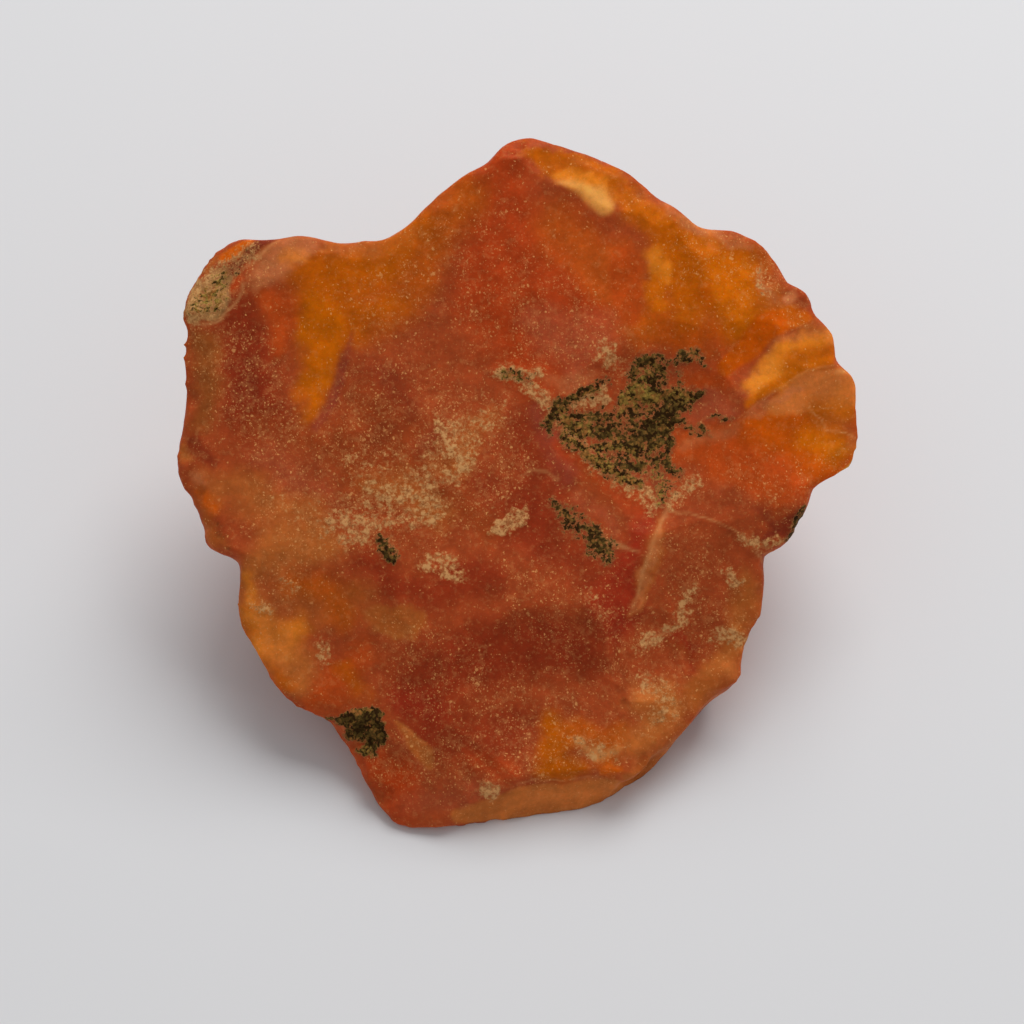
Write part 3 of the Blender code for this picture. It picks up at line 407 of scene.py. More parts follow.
# Where the dark mineral turns to yellow and tan.
OCHRE_STROKES = (
    Cover(((7.3, 7.4, 0.5), (8.4, 8.0, 0.9), (9.6, 7.5, 0.5)), 0.9),
    Cover(((8.4, 9.0, 0.4), (9.4, 9.6, 0.4)), 0.9, 0.8),
    Cover(((10.6, 8.4, 0.3), (11.4, 7.4, 0.4), (12.2, 7.8, 0.2)), 0.7, 0.7),
    Cover(((5.9, 3.9, 0.4), (7.2, 4.4, 0.5), (8.8, 4.2, 0.4), (9.6, 4.4, 0.3)), 0.6, 0.5),
    Cover(((3.6, 5.2, 0.4), (4.8, 4.4, 0.4), (5.8, 3.4, 0.5), (7.4, 2.4, 0.4), (8.5, 1.8, 0.3)), 0.6,
          0.56),
    Cover(((3.4, 6.5, 0.4), (4.2, 5.9, 0.5), (5.2, 5.6, 0.4)), 0.8, 0.7),
    Cover(((4.6, 7.8, 0.2), (5.4, 7.9, 0.3)), 0.4, 0.9),
    Cover(((9.2, 2.8, 0.3), (10.0, 1.9, 0.4), (9.8, 0.5, 0.4)), 0.6, 0.85),
    Cover(((9.8, 6.2, 0.2), (10.3, 5.8, 0.2)), 0.5, 0.45),
    Cover(((12.0, 11.0, 0.2), (12.4, 10.8, 0.2)), 0.4, 0.7),
    Cover(((-0.8, 9.5, 0.3), (0.4, 8.7, 0.2)), 0.4, 0.8),
    Cover(((-10.4, -16.0, 0.3), (-9.6, -16.4, 0.3)), 0.5, 0.8),
    Cover(((-10.8, -13.5, 0.12), (-8.8, -13.2, 0.2)), 0.3, 0.8),
    Cover(((-21.2, 13.6, 0.9), (-20.3, 14.4, 1.5), (-19.4, 15.4, 1.2)), 0.6, 0.9),
)

# The pale crumbly crust.
CRUST_STROKES = (
    Cover(((-21.5, 13.3, 0.5), (-20.4, 14.4, 1.1), (-19.8, 15.6, 0.6)), 0.7, 0.92),
    Cover(((-20.6, 15.8, 0.3), (-18.8, 16.6, 0.3), (-17.2, 17.5, 0.3)), 0.6, 0.61),
    Cover(((-1.4, 6.6, 0.8), (-4.0, 4.8, 1.6), (-5.0, 2.6, 1.7), (-7.0, 0.8, 1.6), (-10.2, -0.4, 1.5),
          (-12.6, -1.0, 0.8)), 1.8, 0.5),
    Cover(((-9.6, 3.4, 1.0), (-7.0, 3.0, 1.0)), 2.0, 0.32),
    Cover(((-16.0, 0.8, 0.8), (-13.4, 0.2, 0.8)), 2.0, 0.3),
    Cover(((-2.0, 1.0, 0.8), (0.6, 3.0, 0.8)), 1.8, 0.16),
    Cover(((-4.8, 5.8, 0.4), (-4.4, 4.6, 0.6), (-3.2, 3.4, 0.6), (-3.9, 2.7, 0.5)), 1.4, 0.8),
    Cover(((-2.8, 5.8, 0.3), (-2.0, 6.4, 0.4)), 1.0, 0.61),
    Cover(((-5.6, 3.6, 0.3), (-5.2, 1.6, 0.4)), 0.9, 0.61),
    Cover(((-12.2, -0.9, 0.3), (-11.0, -0.4, 0.4), (-9.8, -0.9, 0.4), (-8.4, -0.7, 0.3)), 1.0, 0.8),
    Cover(((-11.4, -1.8, 0.3), (-9.7, -1.4, 0.3)), 0.7, 0.73),
    Cover(((-9.4, 2.0, 0.3), (-8.0, 0.9, 0.4), (-6.2, 1.4, 0.3), (-5.2, 0.6, 0.4)), 0.9, 0.79),
    Cover(((-6.6, -0.8, 0.35), (-5.2, -0.5, 0.3)), 0.7, 0.73),
    Cover(((-5.4, -3.4, 0.4), (-4.2, -3.7, 0.5), (-3.8, -4.4, 0.3)), 0.7, 0.76),
    Cover(((-10.8, 3.4, 0.5), (-10.4, 2.6, 0.4)), 1.2, 0.43),
    Cover(((-0.9, 9.5, 0.3), (0.4, 9.3, 0.35), (1.6, 9.1, 0.25)), 0.6, 0.8),
    Cover(((-0.2, 9.2, 0.15), (1.2, 8.4, 0.25), (2.4, 7.2, 0.3), (3.6, 5.6, 0.25), (4.8, 4.2, 0.3)), 0.5,
          0.72),
    Cover(((4.8, 4.2, 0.3), (6.0, 3.0, 0.4), (7.2, 2.2, 0.35), (8.7, 1.4, 0.3), (9.6, 0.3, 0.25)), 0.6,
          0.68),
    Cover(((10.6, 0.8, 0.3), (11.6, 1.6, 0.3), (12.4, 2.0, 0.15)), 0.6, 0.61),
    Cover(((4.4, 7.5, 0.25), (5.8, 7.8, 0.35)), 0.5, 0.85),
    Cover(((6.3, 11.2, 0.25), (6.7, 10.4, 0.35), (7.1, 9.4, 0.2)), 0.6, 0.73),
    Cover(((-0.9, -1.1, 0.35), (0.5, -0.3, 0.4)), 0.45, 0.9),
    Cover(((5.0, -5.4, 0.4), (6.0, -6.8, 0.3)), 1.0, 0.37),
    Cover(((8.8, -9.0, 0.3), (10.0, -8.1, 0.35), (11.4, -7.0, 0.3), (12.2, -5.4, 0.2)), 0.7, 0.76),
    Cover(((8.6, -11.2, 0.3), (10.0, -12.0, 0.4), (10.6, -13.2, 0.5), (9.2, -14.2, 0.3)), 1.0, 0.61),
    Cover(((13.8, -8.4, 0.3), (14.8, -8.3, 0.3), (15.4, -8.8, 0.2)), 0.6, 0.79),
    Cover(((14.6, -4.3, 0.15), (15.0, -4.6, 0.2)), 0.3, 0.85),
    Cover(((4.2, -15.5, 0.3), (5.8, -16.1, 0.5), (7.4, -16.1, 0.3)), 0.8, 0.55),
    Cover(((-1.9, -18.6, 0.2), (-1.4, -18.8, 0.2)), 0.3, 0.85),
    Cover(((-17.2, -6.3, 0.25), (-16.6, -6.6, 0.2)), 0.5, 0.67),
    Cover(((-15.4, -4.8, 0.2), (-14.6, -5.2, 0.2)), 0.5, 0.49),
    Cover(((-12.8, -9.0, 0.15), (-12.5, -9.8, 0.15)), 0.4, 0.61),
    Cover(((15.4, -1.7, 0.2), (16.6, -2.2, 0.25), (17.6, -2.0, 0.3)), 0.5, 0.67),
    Cover(((16.6, 15.8, 0.25), (17.0, 14.8, 0.25)), 0.5, 0.55),
)

# Fine pale dust.
DUST_STROKES = (
    Cover(((-20.6, 11.5, 1.5), (-18.0, 9.5, 2.6), (-16.6, 6.0, 2.6)), 2.5, 0.9),
    Cover(((-9.0, 6.0, 4.0), (-3.0, 4.0, 4.0)), 4.0, 0.6),
    Cover(((-14.0, 0.4, 3.0), (-6.0, 1.0, 3.0), (-1.0, 2.0, 1.6)), 3.0, 0.66),
    Cover(((-6.0, -10.0, 3.0), (-2.0, -14.0, 3.5), (4.0, -14.0, 3.0)), 3.0, 0.54),
    Cover(((2.0, -6.0, 2.5), (7.0, -9.0, 2.5), (10.0, -12.0, 2.5)), 2.5, 0.5),
    Cover(((11.0, -3.0, 1.5), (13.5, -7.0, 2.5)), 2.5, 0.65),
    Cover(((-7.6, -16.4, 1.6), (-2.0, -17.0, 1.2), (6.0, -16.0, 1.4)), 2.0, 0.7),
    Cover(((0.0, 14.0, 4.0), (5.0, 11.0, 3.5)), 4.0, 0.45),
    Cover(((-8.0, 14.0, 3.0), (-3.0, 19.0, 2.0)), 3.0, 0.45),
    Cover(((13.0, 17.0, 2.4), (16.6, 16.4, 1.6), (19.4, 13.6, 1.2)), 2.0, 0.4),
    Cover(((15.4, 2.4, 1.6), (18.0, 0.8, 1.4), (22.0, 4.0, 1.0)), 2.0, 0.45),
    Cover(((-17.6, 16.6, 1.4), (-19.4, 15.0, 1.4)), 1.6, 0.8),
    Cover(((-15.0, -4.0, 2.0), (-16.8, -8.0, 1.4)), 2.0, 0.4),
)

MATRIX = Covering(
    MATRIX_STROKES, (Cloud(9.0, 2, 61.0), Cloud(1.6, 3, 71.0, 0.35)), (0.62, 0.72), blur=1.5, grow=0.1
)
OCHRE = Covering(OCHRE_STROKES, (Cloud(2.4, 3, 171.0),), (0.15, 0.5))
CRUST = Covering(
    CRUST_STROKES, (Cloud(7.0, 2, 81.0), Cloud(1.2, 3, 91.0, 0.5)), (0.42, 0.62), 0.8, blur=1.3, grow=0.3
)

# The dust of the sides and the back, and the small puffs of all dust.
DUST_CLOUD = Cloud(6.0, 3, 101.0, 0.5)
DUST_PUFFS = Cloud(1.8, 2, 111.0, 0.15)

# The warm and the dark zones of the sides and the back, and the small light and dark of all colour.
WARM = Cloud(13.0, 3, 121.0)
DARK = Cloud(8.0, 3, 131.0)
MOTTLE = (Cloud(1.6, 3, 141.0, 0.16), Cloud(0.5, 2, 151.0, 0.08))

# The unevenness of all of the surface, and how far the crust and the mineral stand out: evenly, and in
# lumps. All of it is in mm.
UNEVEN = (Cloud(2.2, 2, 3.1, 0.045), Cloud(0.7, 2, 8.2, 0.016))
CRUST_RISE = (0.035, Cloud(0.42, 2, 5.5, 0.07))
MATRIX_RISE = (0.02, Cloud(0.8, 3, 1.7, 0.14))


@dataclass(frozen=True)
class Ledge:
    """A step in the broken face: inside the chain the surface drops sharply, then climbs back."""

    chain: Chain
    drop: float
    edge: float
    fade: float

    def cut(self, depth: np.ndarray) -> np.ndarray:
        """How far the surface drops, in mm, at each depth inside the chain."""
        return self.drop * ramp(depth, 0.0, self.edge) * (1.0 - ramp(depth, self.edge, self.fade))


LEDGES = (
    Ledge(((8.0, 7.6, 2.6), (6.2, 5.8, 2.0), (9.2, 4.0, 2.0), (9.8, 1.8, 1.0)), 0.24, 0.3, 1.6),
    Ledge(((12.4, -3.4, 3.1), (14.4, -5.6, 3.6), (13.6, -8.4, 3.0)), 0.09, 0.4, 3.2),
    Ledge(((-7.8, -14.0, 0.2), (-6.7, -15.2, 0.5), (-5.9, -16.2, 0.7), (-5.5, -17.2, 0.3)), 0.06, 0.4,
          1.6),
    Ledge(((-10.9, -14.5, 0.8), (-9.6, -14.8, 1.0)), 0.26, 0.2, 1.2),
)


@dataclass(frozen=True)
class Scoop:
    """A shallow round break in the face with a crisp rim: its place, reach and depth in mm, its tilt."""

    place: tuple[float, float]
    reach: float
    depth: float
    tip: tuple[float, float]

    @property
    def radius(self) -> float:
        """The radius of the round shell that breaks out, in metres."""
        return (self.reach**2 + self.depth**2) / (2.0 * self.depth) * MM

    @property
    def lean(self) -> np.ndarray:
        """The way from the deepest point to the shell's middle."""
        across, up = self.tip
        return np.array(BREAK_OUT + across * BREAK_ACROSS + up * BREAK_UP)


SCOOPS = (
    Scoop((17.2, 9.4), 2.2, 0.26, (-0.05, 0.14)),
    Scoop((20.0, 10.6), 2.2, 0.26, (0.05, 0.14)),
    Scoop((19.6, 5.6), 3.4, 0.30, (0.10, 0.02)),
    Scoop((15.8, 3.4), 2.6, 0.12, (0.0, -0.04)),
    Scoop((21.8, 3.6), 1.5, 0.22, (0.25, -0.15)),
    Scoop((18.6, 13.2), 1.5, 0.26, (0.20, 0.16)),
    Scoop((16.2, 16.4), 2.0, 0.20, (0.16, 0.20)),
    Scoop((18.6, 14.5), 0.6, 0.14, (0.10, 0.05)),
    Scoop((13.6, 17.8), 1.5, 0.20, (0.05, 0.30)),
    Scoop((12.2, 15.0), 3.2, 0.16, (0.0, 0.04)),
    Scoop((3.4, 23.2), 1.9, 0.22, (0.06, 0.22)),
    Scoop((6.4, 21.8), 1.8, 0.22, (0.12, 0.22)),
    Scoop((9.4, 19.8), 1.5, 0.18, (0.16, 0.22)),
    Scoop((-3.8, 21.2), 1.2, 0.12, (-0.2, 0.2)),
    Scoop((-9.8, 17.4), 1.8, 0.14, (0.0, 0.25)),
    Scoop((-13.6, 17.4), 1.8, 0.14, (0.0, 0.25)),
    Scoop((-16.6, 16.4), 1.9, 0.20, (-0.05, 0.16)),
    Scoop((-20.6, 9.4), 2.8, 0.14, (-0.2, 0.0)),
    Scoop((-21.4, 4.0), 1.2, 0.16, (-0.25, 0.05)),
    Scoop((-21.1, 2.2), 0.55, 0.20, (-0.1, -0.1)),
    Scoop((-19.8, -1.2), 1.4, 0.24, (-0.35, -0.2)),
    Scoop((-17.4, -6.2), 1.6, 0.14, (-0.2, -0.05)),
    Scoop((-15.6, -9.8), 2.0, 0.16, (-0.2, -0.15)),
    Scoop((-13.4, -12.4), 1.3, 0.14, (-0.2, -0.2)),
    Scoop((-8.4, -18.4), 1.6, 0.12, (-0.15, -0.1)),
    Scoop((-3.6, -17.6), 2.2, 0.12, (0.0, -0.1)),
    Scoop((4.8, -16.0), 2.4, 0.14, (0.0, -0.05)),
    Scoop((11.2, -9.8), 1.5, 0.16, (-0.1, 0.0)),
    Scoop((15.2, -7.6), 1.8, 0.16, (0.2, -0.05)),
    Scoop((13.4, -11.2), 1.9, 0.11, (0.12, -0.1)),
    Scoop((10.2, -14.0), 2.0, 0.14, (0.15, -0.15)),
    Scoop((17.4, -1.2), 1.4, 0.18, (0.2, -0.1)),
    Scoop((9.0, 5.6), 2.6, 0.18, (0.0, 0.0)),
    Scoop((5.4, 6.0), 1.9, 0.14, (0.0, 0.0)),
)


# The broken face's outline from straight in front, with its flakes' scallops, clockwise from the peak.
RIM = (
    (0.5, 24.9), (1.3, 24.95), (2.2, 24.75), (3.3, 24.4), (4.2, 24.1), (5.4, 23.7), (6.4, 23.25),
    (7.4, 22.85), (8.2, 22.3), (8.8, 21.9), (9.4, 21.25), (9.9, 20.8), (10.6, 20.45), (11.2, 20.1),
    (11.8, 19.55), (12.3, 19.15), (12.9, 18.85), (13.7, 18.97), (14.4, 18.93), (15.0, 18.7),
    (15.8, 18.35), (16.4, 18.0), (16.9, 17.5), (17.3, 17.0), (17.8, 16.35), (18.1, 15.8), (18.4, 15.25),
    (18.9, 15.1), (19.4, 14.85), (19.8, 14.3), (20.05, 13.7), (20.25, 13.1), (20.8, 12.6), (21.2, 12.1),
    (21.55, 11.4), (21.62, 10.8), (21.6, 10.2), (21.85, 9.9), (22.35, 9.5), (22.8, 8.9), (22.97, 8.2),
    (22.97, 7.4), (23.0, 6.6), (23.05, 5.6), (23.05, 4.6), (22.95, 3.8), (22.65, 3.05), (22.1, 2.5),
    (21.5, 2.28), (20.9, 2.0), (20.35, 1.5), (20.0, 1.1), (19.85, 0.6), (19.65, 0.1), (19.2, -0.6),
    (18.95, -1.2), (18.55, -1.9), (18.05, -2.5), (17.3, -2.65), (16.9, -2.9), (16.77, -3.5),
    (16.87, -4.4), (16.75, -5.5), (16.67, -6.4), (16.5, -7.1), (16.0, -7.75), (15.55, -8.8), (15.4, -9.7),
    (15.43, -10.5), (15.0, -11.3), (14.5, -11.8), (13.9, -12.25), (13.2, -12.65), (12.6, -13.3),
    (12.05, -13.95), (11.4, -14.75), (10.7, -15.6), (9.95, -16.5), (9.2, -17.3), (8.3, -17.95),
    (7.5, -18.35), (6.85, -18.8), (6.0, -19.3), (5.0, -19.7), (3.6, -20.0), (2.3, -20.15), (0.9, -20.35),
    (-0.8, -20.55), (-2.2, -20.75), (-3.7, -20.95), (-5.3, -21.1), (-6.5, -21.1), (-7.4, -20.95),
    (-8.3, -20.4), (-8.8, -19.85), (-9.2, -19.2), (-9.6, -18.5), (-9.95, -17.9), (-10.4, -16.95),
    (-10.75, -16.1), (-11.3, -15.3), (-11.8, -14.6), (-12.1, -14.05), (-12.6, -13.8), (-13.5, -13.4),
    (-14.2, -13.1), (-14.85, -12.6), (-15.4, -12.0), (-16.05, -11.2), (-16.65, -10.0), (-17.4, -8.7),
    (-17.85, -8.0), (-18.2, -7.2), (-18.3, -6.1), (-18.22, -5.0), (-18.15, -4.0), (-18.25, -3.45),
    (-18.9, -3.15), (-19.7, -2.85), (-20.25, -2.5), (-20.45, -1.95), (-20.6, -1.0), (-21.0, -0.1),
    (-21.4, 0.7), (-21.9, 1.5), (-22.25, 2.2), (-22.35, 3.3), (-22.3, 4.1), (-22.1, 4.8), (-21.95, 5.6),
    (-21.8, 6.7), (-21.8, 7.5), (-21.83, 8.6), (-21.9, 9.7), (-22.0, 10.7), (-21.9, 11.3), (-21.67, 11.9),
    (-21.83, 12.4), (-22.05, 13.1), (-21.95, 13.8), (-21.6, 14.5), (-21.2, 15.25), (-20.7, 16.05),
    (-20.2, 16.8), (-19.65, 17.4), (-19.0, 17.9), (-18.4, 18.2), (-17.6, 18.4), (-16.5, 18.35),
    (-15.9, 18.2), (-15.3, 18.4), (-14.7, 18.5), (-13.8, 18.57), (-12.9, 18.4), (-11.9, 18.15),
    (-10.9, 17.97), (-10.0, 18.15), (-8.9, 18.15), (-8.3, 18.25), (-7.6, 18.7), (-6.9, 19.25),
    (-6.3, 19.9), (-5.6, 20.6), (-4.6, 21.5), (-3.4, 22.4), (-2.2, 23.1), (-1.6, 23.5), (-1.2, 23.95),
    (-0.8, 24.4), (-0.3, 24.7),
)


def to_face(points: np.ndarray) -> np.ndarray:
    """Turns places in the stone's frame, in metres, into (s, t, w) on the broken face, in mm.

    Args:
        points: One row a place.

    Returns:
        One row of s, t and w a place.
    """
    axes = np.array([BREAK_ACROSS, BREAK_UP, BREAK_OUT])
    return (points - np.array(BREAK_MIDDLE)) @ axes.T / MM


def seen_from_front(face: np.ndarray) -> np.ndarray:
    """Where places of s, t and w seem to lie on the face from the camera, as rows of s and t in mm."""
    return face[:, :2] * (BREAK_AWAY / (BREAK_AWAY - face[:, 2:]))


def places_of(bm: bmesh.types.BMesh) -> np.ndarray:
    """Every vertex's place in metres, one row each."""
    return np.array([vert.co for vert in bm.verts])


def normals_of(bm: bmesh.types.BMesh) -> np.ndarray:
    """Every vertex's normal, worked out afresh, one row each."""
    bm.normal_update()
    return np.array([vert.normal for vert in bm.verts])


def move_to(bm: bmesh.types.BMesh, places: np.ndarray) -> None:
    """Moves every vertex to its row's place, in metres."""
    for vert, place in zip(bm.verts, places):
        vert.co = place


def ramp(values: np.ndarray, low: float, high: float) -> np.ndarray:
    """Rises smoothly from 0 at low to 1 at high."""
    part = np.clip((values - low) / (high - low), 0.0, 1.0)
    return part * part * (3.0 - 2.0 * part)


def laid_over(colour: np.ndarray, tone: Tone, share: np.ndarray) -> np.ndarray:
    """The colours of all vertices with a tone laid over them, by its share at each."""
    return colour + (tone.linear - colour) * share[:, None]


def chain_depth(places: np.ndarray, chain: Chain) -> np.ndarray:
    """How deep inside a tapering stroke each place lies.

    Args:
        places: Rows of s and t, in mm.
        chain: The stroke's points, each with its radius.

    Returns:
        The depth in mm, below 0 outside the stroke.
    """
    best = np.full(len(places), -1e3)
    for (s0, t0, r0), (s1, t1, r1) in zip(chain, chain[1:]):
        along = np.array((s1 - s0, t1 - t0))
        part = np.clip((places - (s0, t0)) @ along / (along @ along), 0.0, 1.0)
        middle = np.array((s0, t0)) + part[:, None] * along
        best = np.maximum(best, r0 + part * (r1 - r0) - np.linalg.norm(places - middle, axis=1))
    return best


@dataclass
class StoneShape:
    """The stone's fine surface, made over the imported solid: softened breaks, chipped ridges and grain.

    Sizes that hold MM are in metres, and all others are in mm.
    """

    # The squares, the ridges that stay sharp, and the rounds of softening between them.
    voxel: float = 0.36 * MM
    crease_angle: float = radians(27.0)
    crease_step: float = 0.25 * MM
    calm_reach: float = 0.9 * MM
    soften_all: int = 3
    soften_calm: int = 14
    swell: float = 0.52
    wide_rounds: int = 12
    proud: float = 0.14 * MM
    # The finer squares of the broken face, and how its rim is brought to the outline.
    face_depth: float = 6.0
    fine_edge: float = 0.30 * MM
    rim_width: float = 2.4
    rim_edge: float = 0.2
    rim_rounds: tuple[int, ...] = (10, 4)
    bearings: int = 720
    gap_bins: range = range(-4, 5)
    gap_shares: tuple[tuple[int, float], ...] = ((-2, 0.12), (-1, 0.22), (0, 0.32), (1, 0.22), (2, 0.12))
    rim_strays: float = 0.05
    last_strays: float = 0.06
    # The wide shells that break off the walls: how many, their least and most, and how far they lean.
    scars: int = 150
    scar_radius: tuple[float, float] = (3.0, 9.0)
    scar_depth: tuple[float, float] = (0.10, 0.30)
    scar_lean: float = 0.08
    wall_depth: float = 2.5
    # The small shells that break off the ridges, which by the rim lean to the front.
    chips: int = 620
    chip_radius: tuple[float, float] = (0.5, 2.0)
    chip_share: tuple[float, float] = (0.08, 0.18)
    chip_lean: float = 0.2
    chip_deepest: float = 0.2
    ridge_height: float = 0.055
    rim_depth: float = 2.0
    rim_chip_deepest: float = 0.12
    rim_chip_lean: tuple[float, float] = (0.5, 1.4)
    seed: int = 11
    grain_strays: float = 0.07
    # How far the surface may leave the solid's box, and how near the ground it is pressed flat.
    margin: float = 0.3 * MM
    base_reach: float = 0.12 * MM
    layers: dict[str, np.ndarray] = field(default_factory=dict)

    def build(self) -> bpy.types.Object:
        """Makes the stone's surface.

        Returns:
            The stone's object, at the origin.
        """
        bm = self.merged_copy()
        creases = self.crease_tree(bm)
        stone = self.remeshed(bm)
        bm.free()
        bm = bmesh.new()
        bm.from_mesh(stone.data)
        self.soften(bm, creases)
        self.refine_face(bm)
        self.carve(bm)
        self.chip(bm)
        self.true_rim(bm)
        self.roughen(bm)
        self.settle(bm)
        bm.to_mesh(stone.data)
        bm.free()
        stone.data.shade_smooth()
        return stone

    def merged_copy(self) -> bmesh.types.BMesh:
        """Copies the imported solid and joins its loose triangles.

        Returns:
            The merged solid.
        """
        bm = bmesh.new()
        bm.from_mesh(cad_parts[STONE_NODE].data)
        bmesh.ops.remove_doubles(bm, verts=bm.verts, dist=0.004 * MM)
        return bm

    def crease_tree(self, bm: bmesh.types.BMesh) -> kdtree.KDTree:
        """Places along the solid's sharp ridges and grooves, for looking up.

        Args:
            bm: The merged solid.

        Returns:
            A tree of places a small step apart.
        """
        sharp = [edge for edge in bm.edges if edge.calc_face_angle(0.0) > self.crease_angle]
        places = []
        for edge in sharp:
            first, second = (vert.co for vert in edge.verts)
            steps = max(1, round(edge.calc_length() / self.crease_step))
            places += [first.lerp(second, step / steps) for step in range(steps + 1)]
        tree = kdtree.KDTree(len(places))
        for number, place in enumerate(places):
            tree.insert(place, number)
        tree.balance()
        return tree

    def remeshed(self, bm: bmesh.types.BMesh) -> bpy.types.Object:
        """Turns the solid into even small squares.

        Args:
            bm: The merged solid.

        Returns:
            The new object, with its remesh applied.
        """
        mesh = bpy.data.meshes.new("stone_cage")
        bm.to_mesh(mesh)
        cage = bpy.data.objects.new("stone_cage", mesh)
        bpy.context.scene.collection.objects.link(cage)
        remesh = cage.modifiers.new("even squares", "REMESH")
        remesh.mode = "VOXEL"
        remesh.voxel_size = self.voxel
        graph = bpy.context.evaluated_depsgraph_get()
        fine = bpy.data.meshes.new_from_object(cage.evaluated_get(graph))
        bpy.data.objects.remove(cage)
        fine.name = "chalcedony_stone"
        stone = bpy.data.objects.new("chalcedony_stone", fine)
        bpy.context.scene.collection.objects.link(stone)
        return stone

    def soften(self, bm: bmesh.types.BMesh, creases: kdtree.KDTree) -> None:
        """Smooths the flat facets away and leaves the ridges of the breaks standing.

        Args:
            bm: The stone's surface.
            creases: Places along the ridges.
        """
        calm = [vert for vert in bm.verts if creases.find(vert.co)[2] > self.calm_reach]
        half = [vert for vert in bm.verts if creases.find(vert.co)[2] > self.calm_reach / 2.0]
        self.smooth(bm, list(bm.verts), self.soften_all, self.swell)
        self.smooth(bm, half, self.soften_calm // 2, self.swell)
        self.smooth(bm, calm, self.soften_calm)
        self.smooth(bm, half, 4, self.swell)

    @staticmethod
    def smooth(
        bm: bmesh.types.BMesh, verts: list[bmesh.types.BMVert], rounds: int, swell: float = 0.0
    ) -> None:
        """Relaxes some vertices a number of times.

        Args:
            bm: The surface that holds them.
            verts: The vertices that may move.
            rounds: How many times.
            swell: How much of each round's shrinking is given back by a round the other way.
        """
        axes = {"use_axis_x": True, "use_axis_y": True, "use_axis_z": True}
        for _ in range(rounds):
            bmesh.ops.smooth_vert(bm, verts=verts, factor=0.5, **axes)
            if swell:
                bmesh.ops.smooth_vert(bm, verts=verts, factor=-swell, **axes)

    def refine_face(self, bm: bmesh.types.BMesh) -> None:
        """Halves the squares of the broad broken face and of its rim.

        Args:
            bm: The stone's surface.
        """
        middles = np.array([face.calc_center_median() for face in bm.faces])
        normals = np.array([face.normal for face in bm.faces])
        facing = normals @ np.array(BREAK_OUT)
        depth = to_face(middles)[:, 2]
        chosen = (facing > 0.25) & (depth > -self.face_depth)
        bm.faces.ensure_lookup_table()
        faces = [bm.faces[number] for number in np.flatnonzero(chosen)]
        edges = list({edge for face in faces for edge in face.edges})
        bmesh.ops.subdivide_edges(bm, edges=edges, cuts=1, use_grid_fill=True)
        many = [face for face in bm.faces if len(face.verts) > 4]
        bmesh.ops.triangulate(bm, faces=many)
        longest = ((vert, max(edge.calc_length() for edge in vert.link_edges)) for vert in bm.verts)
        self.smooth(bm, [vert for vert, length in longest if length < self.fine_edge], 2, self.swell)

    def carve(self, bm: bmesh.types.BMesh) -> None:
        """Gives the ridges back what softening took, and cuts the small ledges of the broken face.

        Args:
            bm: The stone's surface.
        """
        places, normals = places_of(bm), normals_of(bm)
        places += normals * self.proud
        paint = StonePaint(places, normals, np.zeros(len(places)))
        drop = np.zeros(len(places))
        for ledge in LEDGES:
            drop += ledge.cut(chain_depth(paint.edged, ledge.chain))
        places -= np.outer(drop * paint.front * MM, np.array(BREAK_OUT))
        self.scoop(places, normals, paint)
        self.hold_outline(places)
        move_to(bm, places)

    def hold_outline(self, places: np.ndarray) -> None:
        """Moves the rim sideways until it follows the face's outline.

        Args:
            places: Every vertex, in metres, which this changes.
        """
        spots = seen_from_front(to_face(places))
        reach = np.linalg.norm(spots, axis=1).clip(0.01)
        turn = np.degrees(np.arctan2(spots[:, 1], spots[:, 0])) % 360.0
        # How far the rim reaches now at each bearing, and the gap to the outline without lone spikes.
        to_bin = self.bearings / 360.0
        now = np.zeros(self.bearings)
        np.maximum.at(now, (turn * to_bin).astype(int) % self.bearings, reach)
        now = np.max([np.roll(now, step) for step in (-1, 0, 1)], axis=0)
        middles = (np.arange(self.bearings) + 0.5) / to_bin
        goal = self.outline_reach(middles)
        gap = np.median([np.roll(goal - now, step) for step in self.gap_bins], axis=0)
        gap = sum(share * np.roll(gap, step) for step, share in self.gap_shares)
        # The vertices near the rim follow it, and none ends up beyond the outline.
        edge, gap, goal = (
            np.interp(turn, middles, values, period=360.0) for values in (goal - gap, gap, goal)
        )
        shift = gap * ramp(reach, edge - self.rim_width, edge - self.rim_edge)
        shift = np.minimum(shift, goal - reach) / reach
        places += np.outer(spots[:, 0] * shift * MM, np.array(BREAK_ACROSS))
        places += np.outer(spots[:, 1] * shift * MM, np.array(BREAK_UP))

    @staticmethod
    def outline_reach(bearings: np.ndarray) -> np.ndarray:
        """How far the face's outline lies from its middle.

        Args:
            bearings: The directions to look in, in degrees.

        Returns:
            One distance a bearing, in mm.
        """
        loop = np.array(RIM)
        parts = np.linspace(0.0, 1.0, 20, endpoint=False)[:, None, None]
        dense = (loop + parts * (np.roll(loop, -1, axis=0) - loop)).reshape(-1, 2)
        angles = np.degrees(np.arctan2(dense[:, 1], dense[:, 0])) % 360.0
        return np.interp(bearings, angles, np.linalg.norm(dense, axis=1), period=360.0)

    def true_rim(self, bm: bmesh.types.BMesh) -> None:
        """Takes the small teeth off the rim, then brings it back to the face's outline.

        Args:
            bm: The stone's surface.
        """
        places = places_of(bm)
        self.hold_outline(places)
        closeness = self.near_rim(places)
        move_to(bm, places)
        bm.verts.ensure_lookup_table()
        close, wider = (
            [bm.verts[number] for number in np.flatnonzero(closeness > limit)] for limit in (0.8, 0.6)
        )
        for rounds in self.rim_rounds:
            self.smooth(bm, close, rounds)
            self.smooth(bm, wider, 2, swell=0.5)
            self.calm_strays(bm, self.rim_strays, 4)
            places = places_of(bm)
            self.hold_outline(places)
            move_to(bm, places)
        self.calm_strays(bm, self.last_strays, 2)

